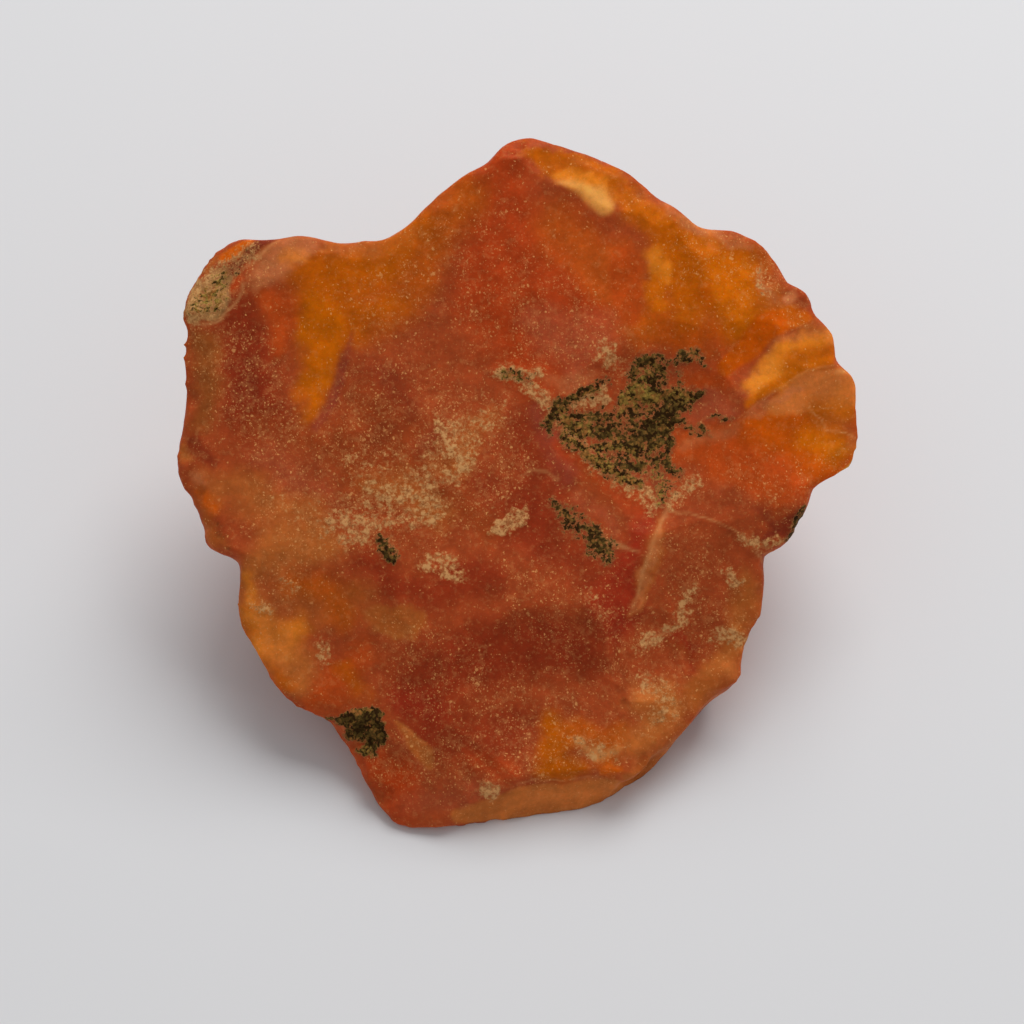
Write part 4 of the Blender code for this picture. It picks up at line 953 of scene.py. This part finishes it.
    def calm_strays(self, bm: bmesh.types.BMesh, limit: float, rounds: int) -> None:
        """Smooths the vertices that stick far out of their neighbours, and the ones round them.

        Args:
            bm: The stone's surface.
            limit: How far out is far, in mm.
            rounds: How many times they are smoothed.
        """
        stray = np.abs(self.bulge(bm, 2)) > limit
        verts = {vert for vert, far in zip(bm.verts, stray) if far}
        verts |= {edge.other_vert(vert) for vert in verts for edge in vert.link_edges}
        self.smooth(bm, list(verts), rounds)

    def near_rim(self, places: np.ndarray) -> np.ndarray:
        """How near each place is to the outline, seen from in front.

        Args:
            places: One row a place, in metres.

        Returns:
            1 on the outline, and 0 from the rim's width away from it.
        """
        spots = seen_from_front(to_face(places))
        loop = np.array(RIM + RIM[:1])
        best = np.full(len(spots), 9.0)
        for first, second in zip(loop, loop[1:]):
            along = second - first
            part = np.clip((spots - first) @ along / (along @ along), 0.0, 1.0)
            best = np.minimum(best, np.linalg.norm(spots - first - part[:, None] * along, axis=1))
        return 1.0 - ramp(best, 0.0, self.rim_width)

    def scoop(self, places: np.ndarray, normals: np.ndarray, paint: "StonePaint") -> None:
        """Cuts the shallow round breaks of the face and of its rim.

        Args:
            places: Every vertex, in metres, which this changes.
            normals: One row a vertex.
            paint: Where each vertex is on the face.
        """
        free = ramp(paint.facing, 0.05, 0.4)
        gap = np.where(paint.facing > 0.1, 0.0, 1e3)
        for scoop in SCOOPS:
            number = int(np.argmin(np.linalg.norm(paint.face - scoop.place, axis=1) + gap))
            self.dent(places, normals, number, scoop.lean, scoop.radius, scoop.depth * MM, free)

    def bulge(self, bm: bmesh.types.BMesh, rounds: int) -> np.ndarray:
        """How far each vertex stands out from its smoothed surroundings.

        Args:
            bm: The stone's surface.
            rounds: How widely the surroundings are smoothed.

        Returns:
            The height in mm, below 0 in grooves.
        """
        places, normals = places_of(bm), normals_of(bm)
        relaxed = bm.copy()
        self.smooth(relaxed, list(relaxed.verts), rounds)
        calm = places_of(relaxed)
        relaxed.free()
        return np.einsum("ij,ij->i", places - calm, normals) / MM

    def chip(self, bm: bmesh.types.BMesh) -> None:
        """Breaks small shells off the ridges and wide shallow ones off the walls.

        Args:
            bm: The stone's surface.
        """
        draw = np.random.default_rng(self.seed)
        places, normals = places_of(bm), normals_of(bm)
        height = self.bulge(bm, self.wide_rounds)
        depth = -to_face(places)[:, 2]
        self.scar_walls(places, normals, depth, draw)
        self.chip_ridges(places, normals, depth, height, draw)
        move_to(bm, places)

    def scar_walls(
        self, places: np.ndarray, normals: np.ndarray, depth: np.ndarray, draw: np.random.Generator
    ) -> None:
        """Breaks wide shallow shells off the walls.

        Args:
            places: Every vertex, in metres, which this changes.
            normals: One row a vertex.
            depth: How far each lies behind the broken face, in mm.
            draw: The source of chance.
        """
        wall = (depth > self.wall_depth) & (places[:, 2] > 0.4 * MM)
        free = ramp(depth, 1.2, 3.2)
        for number in draw.choice(np.flatnonzero(wall), self.scars, replace=False):
            radius, deep = (draw.uniform(*limits) * MM for limits in (self.scar_radius, self.scar_depth))
            lean = normals[number] + draw.normal(0.0, self.scar_lean, 3)
            self.dent(places, normals, number, lean, radius, deep, free)

    def chip_ridges(
        self,
        places: np.ndarray,
        normals: np.ndarray,
        depth: np.ndarray,
        height: np.ndarray,
        draw: np.random.Generator,
    ) -> None:
        """Breaks small shells off the ridges, fewer and shallower ones by the rim of the face.

        Args:
            places: Every vertex, in metres, which this changes.
            normals: One row a vertex.
            depth: How far each lies behind the broken face, in mm.
            height: How far each stands out of its surroundings, in mm.
            draw: The source of chance.
        """
        rim = depth < self.rim_depth
        ridge = np.flatnonzero((height > self.ridge_height) & (places[:, 2] > 0.3 * MM))
        weight = np.clip(height[ridge], 0.0, 0.25) * np.where(rim[ridge], 0.4, 1.0)
        whole = np.ones(len(places))
        for number in draw.choice(ridge, self.chips, replace=False, p=weight / weight.sum()):
            radius = draw.uniform(*self.chip_radius) * MM
            deepest = self.rim_chip_deepest if rim[number] else self.chip_deepest
            deep = min(radius * draw.uniform(*self.chip_share), deepest * MM)
            up = draw.uniform(*self.rim_chip_lean) * rim[number] * np.array(BREAK_OUT)
            lean = normals[number] + up + draw.normal(0.0, self.chip_lean, 3)
            self.dent(places, normals, number, lean, radius, deep, whole)

    @staticmethod
    def dent(
        places: np.ndarray,
        normals: np.ndarray,
        number: int,
        lean: np.ndarray,
        radius: float,
        depth: float,
        free: np.ndarray,
    ) -> None:
        """Presses a round shell straight into the surface.

        Args:
            places: Every vertex, in metres, which this changes.
            normals: One row a vertex.
            number: The vertex under the shell's deepest point.
            lean: The way from there to the shell's middle.
            radius: The shell's radius.
            depth: How deep it goes.
            free: How far each vertex may follow, from 0 to 1.
        """
        way = lean / np.linalg.norm(lean)
        offset = places - places[number] - way * (radius - depth)
        inside = np.flatnonzero(np.einsum("ij,ij->i", offset, offset) < radius**2)
        along = offset[inside] @ way
        aside = np.linalg.norm(offset[inside] - np.outer(along, way), axis=1)
        push = along + np.sqrt(np.clip(radius**2 - aside**2, 0.0, None))
        push *= free[inside] * ramp(normals[inside] @ way, 0.0, 0.25)
        places[inside] -= np.outer(np.minimum(push, 2.5 * depth), way)

    def roughen(self, bm: bmesh.types.BMesh) -> None:
        """Raises the crust and the dark mineral, and gives all of the surface its fine unevenness.

        Args:
            bm: The stone's surface.
        """
        places, normals = places_of(bm), normals_of(bm)
        paint = StonePaint(places, normals, self.bulge(bm, self.wide_rounds))
        spots = places / MM
        rise = sum(cloud.at(spots) for cloud in UNEVEN)
        for covering, (base, lumps) in ((CRUST, CRUST_RISE), (MATRIX, MATRIX_RISE)):
            rise += paint.share(covering) * (base + lumps.at(spots))
        places += normals * (rise * MM)[:, None]
        self.hold_outline(places)
        move_to(bm, places)
        self.calm_strays(bm, self.grain_strays, 2)
        self.layers = paint.layers()

    def settle(self, bm: bmesh.types.BMesh) -> None:
        """Keeps the base flat on the ground and the stone inside its box.

        Args:
            bm: The stone's surface.
        """
        low, high = (np.array(corner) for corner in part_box(STONE_NODE))
        low[:2] -= self.margin
        high += self.margin
        for vert in bm.verts:
            vert.co = np.clip(vert.co, low, high)
            if vert.co.z < self.base_reach:
                vert.co.z = 0.0


class StonePaint:
    """Works out the stone's colour and coverings at each vertex.

    A stroke's edge follows the places that it is read at: wide ones bend gently, ragged ones are torn by
    fine noise too, and edged ones stay nearly straight.
    """

    def __init__(self, places: np.ndarray, normals: np.ndarray, height: np.ndarray) -> None:
        """Reads where the vertices are.

        Args:
            places: One row a vertex, in metres.
            normals: One row a vertex.
            height: How far each stands out of its surroundings, in mm.
        """
        face = to_face(places)
        self.spots = places / MM
        self.height = height
        self.facing = normals @ np.array(BREAK_OUT)
        wave = np.stack([Cloud(2.6, 3, shift).at(self.spots) for shift in (11.0, 23.0)], axis=1)
        fine = np.stack([Cloud(0.9, 3, shift).at(self.spots) for shift in (31.0, 47.0)], axis=1)
        self.face = face[:, :2]
        # How far each sort of edge strays from its stroke, in mm.
        self.wide = self.face + 0.75 * wave
        self.ragged = self.face + 0.2 * wave + 0.42 * fine
        self.edged = self.face + 0.25 * wave + 0.06 * fine
        self.front = ramp(face[:, 2] + 2.0 * self.facing, -5.0, -2.5)

    def cover(
        self, strokes: tuple[Cover, ...], places: np.ndarray, blur: float = 1.0, grow: float = 0.0
    ) -> np.ndarray:
        """How thickly a covering lies, where its strokes reach.

        Args:
            strokes: The covering's strokes.
            places: Rows of s and t, in mm.
            blur: How many times softer the strokes' edges are.
            grow: How much wider the strokes are, in mm.

        Returns:
            From 0 to 1 for each place.
        """
        total = np.zeros(len(places))
        for stroke in strokes:
            depth = chain_depth(places, stroke.chain) + grow
            half = stroke.soft * blur / 2.0
            total = np.maximum(total, stroke.strength * ramp(depth, -half, half))
        return total

    def share(self, covering: Covering) -> np.ndarray:
        """How thickly a covering lies at each vertex.

        Args:
            covering: Its strokes and its clouds.

        Returns:
            From 0 to 1 for each vertex.
        """
        hand = self.cover(covering.strokes, self.ragged, covering.blur, covering.grow) * self.front
        cloud = ramp(sum(cloud.at(self.spots) for cloud in covering.clouds), *covering.limits)
        return np.maximum(hand, covering.strength * cloud * (1.0 - self.front))

    def dust(self) -> np.ndarray:
        """How dusty the stone is.

        Returns:
            From 0 to 1 for each vertex.
        """
        hand = 0.22 + self.cover(DUST_STROKES, self.wide)
        cloud = 0.45 + DUST_CLOUD.at(self.spots)
        mixed = hand * self.front + cloud * (1.0 - self.front)
        return np.clip(mixed + DUST_PUFFS.at(self.spots), 0.0, 1.0)

    def body(self) -> np.ndarray:
        """The colour of the sides and the back, in soft clouds.

        Returns:
            Linear red, green and blue, one row a vertex.
        """
        warm, dark = WARM.at(self.spots), DARK.at(self.spots)
        colour = np.tile(Tone.BRICK.linear, (len(self.spots), 1))
        for tone, share in (
            (Tone.DEEP_AMBER, ramp(warm, 0.0, 0.35)),
            (Tone.AMBER, 0.8 * ramp(warm, 0.25, 0.55)),
            (Tone.DARK_RED, 0.85 * ramp(dark, 0.1, 0.45)),
            (Tone.TAN, 0.8 * ramp(-warm, 0.1, 0.45)),
            (Tone.LIVER, 0.6 * ramp(-dark, 0.3, 0.55)),
        ):
            colour = laid_over(colour, tone, share)
        return colour

    def tint(self) -> np.ndarray:
        """The stone's own colour, with painted shade in its grooves.

        Returns:
            Linear red, green and blue, one row a vertex.
        """
        colour = np.tile(Tone.BRICK.linear, (len(self.spots), 1))
        for patch in PATCHES:
            places = self.edged if patch.crisp else self.wide if patch.soft > GENTLE else self.ragged
            depth = chain_depth(places, patch.chain)
            share = patch.strength * ramp(depth, -patch.soft / 2.0, patch.soft / 2.0)
            colour = laid_over(colour, patch.tone, share)
        body = self.body()
        colour = body + (colour - body) * self.front[:, None]
        mottle = 1.0 + sum(cloud.at(self.spots) for cloud in MOTTLE)
        # Painted shade: the colour is darker in the grooves, where the surface lies below its
        # surroundings.
        groove_shade = 1.0 + np.clip(self.height, -0.25, 0.0)
        return np.clip(colour * (mottle * groove_shade)[:, None], 0.0, 1.0)

    def wear(self) -> np.ndarray:
        """How much the ridges are rubbed pale."""
        return ramp(self.height, 0.05, 0.22)

    def layers(self) -> dict[str, np.ndarray]:
        """Works out every layer that the material reads.

        Returns:
            One row or number a vertex, by the layer's name.
        """
        return {
            "tint": self.tint(),
            "dust": self.dust(),
            "crust": self.share(CRUST),
            "matrix": self.share(MATRIX),
            "ochre": self.share(OCHRE),
            "wear": self.wear(),
            "line": self.cover(LINES, self.edged) * self.front,
        }


class Value:
    """A shader socket that Python arithmetic turns into Math nodes."""

    def __init__(self, kit: "NodeKit", socket: bpy.types.NodeSocket) -> None:
        self.kit = kit
        self.socket = socket

    def math(self, operation: str, first: "Value | float", second: "Value | float") -> "Value":
        """Adds one Math node."""
        return self.kit.node("ShaderNodeMath", {"operation": operation}, {0: first, 1: second})

    def __add__(self, other: "Value | float") -> "Value":
        """This plus another."""
        return self.math("ADD", self, other)

    def __sub__(self, other: "Value | float") -> "Value":
        """This minus another."""
        return self.math("SUBTRACT", self, other)

    def __rsub__(self, other: float) -> "Value":
        """A number minus this."""
        return self.math("SUBTRACT", other, self)

    def __mul__(self, other: "Value | float") -> "Value":
        """This times another."""
        return self.math("MULTIPLY", self, other)

    __radd__ = __add__
    __rmul__ = __mul__

    def beside(self, number: int) -> "Value":
        """Another output of the same node."""
        return Value(self.kit, self.socket.node.outputs[number])

    def most(self, other: "Value | float") -> "Value":
        """The larger of the two."""
        return self.math("MAXIMUM", self, other)

    def around(self, height: float) -> "Value":
        """Noise from 0 to 1, brought to this height and centred on 0."""
        return (self - 0.5) * height

    def ramp(self, low: "Value | float", high: "Value | float") -> "Value":
        """Rises smoothly from 0 at low to 1 at high."""
        settings = {"interpolation_type": "SMOOTHSTEP"}
        return self.kit.node("ShaderNodeMapRange", settings, {0: self, 1: low, 2: high, 3: 0.0, 4: 1.0})


class NodeKit:
    """Makes one material's nodes."""

    def __init__(self, name: str) -> None:
        """Starts an empty material.

        Args:
            name: The material's name.
        """
        self.material = bpy.data.materials.new(name)
        self.material.use_nodes = True
        self.tree = self.material.node_tree
        self.tree.nodes.clear()

    def node(self, kind: str, settings: dict, inputs: dict, output: int = 0) -> Value:
        """Adds any node.

        Args:
            kind: The node's type.
            settings: Its own properties, which are set first.
            inputs: Numbers, colours or Values by socket name or place.
            output: Which of its outputs to return.

        Returns:
            The chosen output.
        """
        made = self.tree.nodes.new(kind)
        for name, setting in settings.items():
            setattr(made, name, setting)
        for place, value in inputs.items():
            if isinstance(value, Value):
                self.tree.links.new(value.socket, made.inputs[place])
            else:
                made.inputs[place].default_value = value
        return Value(self, made.outputs[output])

    def mix(
        self, share: Value | float, first: Value | Colour, second: Value | Colour, blend: str = "MIX"
    ) -> Value:
        """Mixes two colours.

        Args:
            share: How much of the second shows.
            first: The colour below.
            second: The colour above.
            blend: How the two combine.

        Returns:
            The mixed colour.
        """
        settings = {"data_type": "RGBA", "blend_type": blend}
        return self.node("ShaderNodeMix", settings, {0: share, 6: first, 7: second}, 2)

    def layer(self, name: str) -> Value:
        """Reads a number painted on the mesh."""
        return self.node("ShaderNodeAttribute", {"attribute_name": name}, {}, 2)

    def cells(self, place: Value, size: float) -> Value:
        """The distance to the middle of a cell of a given size in mm. Output 1 is the cell's colour."""
        return self.node("ShaderNodeTexVoronoi", {}, {"Vector": place, "Scale": 1.0 / size})

    def noise(self, place: Value, size: float, detail: float = 2.0, rough: float = 0.5) -> Value:
        """Noise from 0 to 1 with lumps of a given size in mm."""
        inputs = {"Vector": place, "Scale": 1.0 / size, "Detail": detail, "Roughness": rough}
        return self.node("ShaderNodeTexNoise", {}, inputs)

    def finish(self, surface: Value) -> None:
        """Joins the surface to the material's output."""
        output = self.tree.nodes.new("ShaderNodeOutputMaterial")
        self.tree.links.new(surface.socket, output.inputs["Surface"])


@dataclass(frozen=True)
class ChalcedonyFinish:
    """Waxy, slightly translucent chalcedony with pale specks, beige crust and dark granular mineral.

    Grain sizes are in mm.
    """

    roughness: float = 0.46
    gloss: float = 0.05
    refraction: float = 1.5
    translucency: float = 0.3
    reach: float = 0.9 * MM
    reach_shares: tuple[float, float, float] = (1.0, 0.38, 0.12)
    relief: float = 0.06 * MM
    bend: float = 0.36
    grain: float = 0.26
    mottle: float = 1.4
    lumps: float = 0.62
    crumbs: float = 0.42
    grit: float = 0.28
    powder: float = 0.2
    fine_specks: float = 0.15
    wide_specks: float = 0.29
    beads: float = 0.24
    speck: Colour = (0.92, 0.44, 0.14, 1.0)
    line: Colour = (0.78, 0.42, 0.16, 1.0)
    crust: Colour = (0.77, 0.40, 0.145, 1.0)
    # The crumbs' darker colour: painted shade at their edges, and their own darker mottling.
    crust_shade: Colour = (0.36, 0.12, 0.034, 1.0)
    smoke: Colour = (0.20, 0.055, 0.022, 1.0)
    olive: Colour = (0.15, 0.092, 0.02, 1.0)
    black: Colour = (0.034, 0.014, 0.003, 1.0)
    ochre: Colour = (0.56, 0.38, 0.07, 1.0)
    rust: Colour = (0.46, 0.17, 0.04, 1.0)

    @staticmethod
    def grains(kit: NodeKit, place: Value, size: float, share: Value) -> Value:
        """Separate small grains, at most one to a cell, each with its own size and strength.

        Args:
            kit: The material's nodes.
            place: Coordinates in mm.
            size: How wide the cells are, in mm.
            share: How many of the cells hold a grain, from 0 to 1.

        Returns:
            How strongly a grain shows, from 0 to 1.
        """
        near = kit.cells(place, size)
        torn = near + kit.noise(place, size * 0.6, 2.0, 0.7).around(0.7)
        chance = kit.node("ShaderNodeSeparateColor", {}, {0: near.beside(1)})
        width, strength = chance.beside(1), chance.beside(2)
        reach = width * 0.34 + 0.26
        shape = 1.0 - torn.ramp(reach * 0.4, reach)
        return shape * (share - chance).ramp(0.0, 0.2) * (strength * strength * 0.9 + 0.2)

    def flecks(self, kit: NodeKit, place: Value, share: Value) -> Value:
        """Irregular grains of pale dust in two sizes, mostly faint, in loose clusters.

        Args:
            kit: The material's nodes.
            place: Coordinates in mm, bent a little so that no grain is round.
            share: How dusty it is, from 0 to 1.

        Returns:
            How strongly the dust shows, from 0 to 1.
        """
        cluster = kit.noise(place, 1.3, 4.0, 0.7)
        local = share * (cluster * 4.0 - 1.3)
        fine = self.grains(kit, place, self.fine_specks, local * 1.3 + 0.08)
        wide = self.grains(kit, place, self.wide_specks, local * 0.75 - 0.08)
        cloud = kit.noise(place, 0.42, 3.0, 0.7)
        haze = (cloud + local * 0.10).ramp(0.52, 0.80)
        return fine.most(wide * 0.85).most(haze * 0.26)

    def mineral(self, kit: NodeKit, place: Value, ochre: Value, thick: Value) -> Value:
        """The dark mineral's granular mix of black, olive, yellow and tan, with painted shade between its
        beads.

        Args:
            kit: The material's nodes.
            place: Coordinates in mm, bent a little.
            ochre: How yellow it is, from 0 to 1.
            thick: How thickly it lies, from 0 to 1.

        Returns:
            Its colour.
        """
        grain = kit.noise(place, 0.22, 2.0, 0.6)
        clump = kit.noise(place, 0.7, 4.0, 0.75)
        bead = kit.cells(place, self.beads)
        tone = kit.node("ShaderNodeSeparateColor", {}, {0: bead.beside(1)})
        # Painted shade: each bead is lighter in its middle and blacker towards its edge.
        lit = 1.0 - bead.ramp(0.1, 0.75)
        earth = kit.mix((clump * 0.8 + tone * 0.4).ramp(0.48, 0.80), self.ochre, self.rust)
        dark = kit.mix((grain * 0.8 + clump * 0.6 + tone * 0.5).ramp(0.75, 1.15), self.black, self.olive)
        share = ochre * 0.72 + clump.around(1.5) + tone.around(0.8) + grain.around(1.6) - thick * 0.16
        mixed = kit.mix(share.ramp(0.0, 0.85) * 0.95, dark, earth)
        return kit.mix(lit * 0.45 + 0.55, self.black, mixed)

    def coordinates(self, kit: NodeKit) -> tuple[Value, Value]:
        """Places in mm, and the same bent a little so that no cell has a straight edge.

        Args:
            kit: The material's nodes.

        Returns:
            The straight and the bent places.
        """
        metres = kit.node("ShaderNodeTexCoord", {}, {}, 3)
        place = kit.node("ShaderNodeMapping", {}, {"Vector": metres, "Scale": (1.0 / MM,) * 3})
        stray = kit.node("ShaderNodeTexNoise", {}, {"Vector": place, "Scale": 3.2, "Detail": 2.0}, 1)
        bend = {0: stray, 1: (self.bend,) * 3, 2: place}
        return place, kit.node("ShaderNodeVectorMath", {"operation": "MULTIPLY_ADD"}, bend)

    def mottled(self, kit: NodeKit, place: Value, tint: Value, grain: Value) -> Value:
        """The stone's own colour, made a little lighter and darker by its grain.

        Args:
            kit: The material's nodes.
            place: Coordinates in mm.
            tint: The painted colour.
            grain: Fine noise.

        Returns:
            Its colour.
        """
        shade = grain.around(0.5) + kit.noise(place, self.mottle, 4.0, 0.6).around(0.6) + 1.0
        grey = kit.node("ShaderNodeCombineColor", {}, {0: shade, 1: shade, 2: shade})
        return kit.mix(1.0, tint, grey, "MULTIPLY")

    def surface(
        self, kit: NodeKit, inner: Value, top: Value, bare: Value, rough: Value, relief: Value
    ) -> Value:
        """Translucent stone, with what covers it on top.

        Args:
            kit: The material's nodes.
            inner: The colour of the stone itself.
            top: The colour of what covers it.
            bare: How much of the stone is seen, from 0 to 1.
            rough: How rough both are.
            relief: How far the grains stand out.

        Returns:
            The finished surface.
        """
        grains = {"Height": relief, "Distance": self.relief, "Strength": 0.8}
        shared = {
            "Roughness": rough,
            "Normal": kit.node("ShaderNodeBump", {}, grains),
            "IOR": self.refraction,
            "Specular IOR Level": self.gloss,
        }
        glow = {
            "Subsurface Weight": self.translucency,
            "Subsurface Radius": self.reach_shares,
            "Subsurface Scale": self.reach,
        }
        walk = {"subsurface_method": "RANDOM_WALK"}
        stone = kit.node("ShaderNodeBsdfPrincipled", walk, {"Base Color": inner, **shared, **glow})
        cover = kit.node("ShaderNodeBsdfPrincipled", {}, {"Base Color": top, **shared})
        return kit.node("ShaderNodeMixShader", {}, {0: bare, 1: cover, 2: stone})

    def build(self) -> bpy.types.Material:
        """Makes the material.

        Returns:
            The finished material.
        """
        kit = NodeKit("waxy chalcedony")
        place, bent = self.coordinates(kit)
        tint = kit.node("ShaderNodeAttribute", {"attribute_name": "tint"}, {}, 0)
        dust, crust, matrix, wear, ochre, line = (
            kit.layer(name) for name in ("dust", "crust", "matrix", "wear", "ochre", "line")
        )
        grain = kit.noise(place, self.grain, 4.0, 0.7)
        body = self.mottled(kit, place, tint, grain)
        flecks = self.flecks(kit, bent, dust)
        lumps = kit.noise(place, self.lumps, 3.0, 0.65)
        powder = kit.noise(place, self.powder, 3.0, 0.65)
        crumbs = kit.cells(bent, self.crumbs)
        grit = kit.noise(place, self.grit, 3.0, 0.7)
        # The crust lies where its paint and its crumbs rise high enough together.
        level = crust * 1.2 + (0.42 - crumbs) * 0.9 + lumps.around(1.6) + powder.around(2.2)
        crusted = level.ramp(0.34, 1.0) * crust.ramp(0.0, 0.2)
        # Each crumb is lighter in its middle and darker at its edge: partly painted shade of the raised
        # crumbs, partly their own mottling.
        crumb = kit.mix((level * 0.6 + grit.around(2.6)).ramp(0.1, 0.85), self.crust_shade, self.crust)
        # The dark mineral's edge is torn in the same way, and the stone round it is smoky.
        reached = matrix + lumps.around(1.1) + grit.around(2.4)
        mineral_share = reached.ramp(0.34, 0.74) * matrix.ramp(0.0, 0.15)
        thick = reached.ramp(0.5, 1.3)
        smoky = kit.mix((matrix + lumps.around(0.8)).ramp(0.08, 0.6) * 0.5, body, self.smoke)
        dusted = flecks * 0.95
        rubbed = wear * 0.14 + line * 0.6
        bare = (1.0 - dusted) * (1.0 - rubbed) * (1.0 - crusted * 0.85) * (1.0 - mineral_share)
        lit = kit.mix(rubbed, kit.mix(0.25, self.speck, body), self.line)
        top = kit.mix(mineral_share, kit.mix(crusted, lit, crumb), self.mineral(kit, bent, ochre, thick))
        rough = crusted * 0.3 + dust * 0.12 + mineral_share * 0.25 + self.roughness
        relief = crust * (lumps + grit * 0.6) + matrix * grit * 1.6 + grain * 0.3
        kit.finish(self.surface(kit, smoky, top, bare, rough, relief))
        return kit.material


@dataclass
class Stone:
    """The one-piece stone: its fine surface, dressed."""

    shape: StoneShape = field(default_factory=StoneShape)
    finish: ChalcedonyFinish = field(default_factory=ChalcedonyFinish)

    def build(self) -> list[bpy.types.Object]:
        """Makes the stone and ties it to the frame.

        Returns:
            The stone's objects.
        """
        stone = self.shape.build()
        self.paint(stone.data, self.shape.layers)
        stone.data.materials.clear()
        stone.data.materials.append(self.finish.build())
        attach(stone, "root")
        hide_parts(STONE_NODE)
        return [stone]

    @staticmethod
    def paint(mesh: bpy.types.Mesh, layers: dict[str, np.ndarray]) -> None:
        """Stores the painted layers on the mesh.

        Args:
            mesh: The stone's mesh.
            layers: The colour, which has three columns, and the numbers, by name.
        """
        for name, values in layers.items():
            if values.ndim == 2:
                layer = mesh.attributes.new(name, "FLOAT_COLOR", "POINT")
                solid = np.concatenate([values, np.ones((len(values), 1))], axis=1)
                layer.data.foreach_set("color", solid.astype(np.float32).ravel())
            else:
                layer = mesh.attributes.new(name, "FLOAT", "POINT")
                layer.data.foreach_set("value", values.astype(np.float32))


@dataclass
class Studio:
    """A pale table, one large soft light from above and behind, and the camera."""

    floor_size: float = 3.0
    floor_colour: Colour = (0.80, 0.80, 0.81, 1.0)
    floor_roughness: float = 0.75
    sky_colour: Colour = (0.985, 0.985, 1.0, 1.0)
    sky_strength: float = 0.355
    lamp_size: float = 0.42
    lamp_place: tuple[float, float, float] = (0.14, 0.36, 0.485)
    lamp_energy: float = 2.74
    lens: float = 85.0
    sensor: float = 36.0
    frame_width: float = 68.27 * MM

    def build(self) -> None:
        """Makes the floor, the lights and the camera."""
        self.floor()
        self.lights()
        self.camera()
        bpy.context.scene.view_settings.view_transform = "Standard"

    def floor(self) -> None:
        """A wide matt table top at the stone's base."""
        mesh = bpy.data.meshes.new("table_top")
        bm = bmesh.new()
        bmesh.ops.create_grid(bm, x_segments=1, y_segments=1, size=self.floor_size / 2.0)
        bm.to_mesh(mesh)
        bm.free()
        table = bpy.data.objects.new("table_top", mesh)
        bpy.context.scene.collection.objects.link(table)
        kit = NodeKit("pale table")
        paper = {"Base Color": self.floor_colour, "Roughness": self.floor_roughness}
        kit.finish(kit.node("ShaderNodeBsdfPrincipled", {}, paper))
        mesh.materials.append(kit.material)

    def lights(self) -> None:
        """The pale surroundings and the large soft lamp."""
        world = bpy.data.worlds.new("studio")
        world.use_nodes = True
        sky = world.node_tree.nodes["Background"]
        sky.inputs["Color"].default_value = self.sky_colour
        sky.inputs["Strength"].default_value = self.sky_strength
        bpy.context.scene.world = world
        data = bpy.data.lights.new("soft_lamp", "AREA")
        data.shape = "SQUARE"
        data.size = self.lamp_size
        data.energy = self.lamp_energy
        lamp = bpy.data.objects.new("soft_lamp", data)
        bpy.context.scene.collection.objects.link(lamp)
        lamp.location = self.lamp_place
        lamp.rotation_euler = Vector(self.lamp_place).to_track_quat("Z", "Y").to_euler()

    def camera(self) -> None:
        """Looks straight onto the broad broken face."""
        data = bpy.data.cameras.new("camera")
        data.lens = self.lens
        data.sensor_width = self.sensor
        camera = bpy.data.objects.new("camera", data)
        bpy.context.scene.collection.objects.link(camera)
        distance = self.frame_width * self.lens / self.sensor
        camera.location = BREAK_MIDDLE + BREAK_OUT * distance
        camera.rotation_euler = (BREAK_LEAN, 0.0, 0.0)
        bpy.context.scene.camera = camera


def main() -> None:
    """Builds the stone and its studio."""
    logging.basicConfig(level=logging.INFO, format="%(message)s")
    Studio().build()
    for piece in Stone().build():
        triangles = sum(len(face.vertices) - 2 for face in piece.data.polygons)
        log.info("%s: %d triangles", piece.name, triangles)


if __name__ == "__main__":
    main()
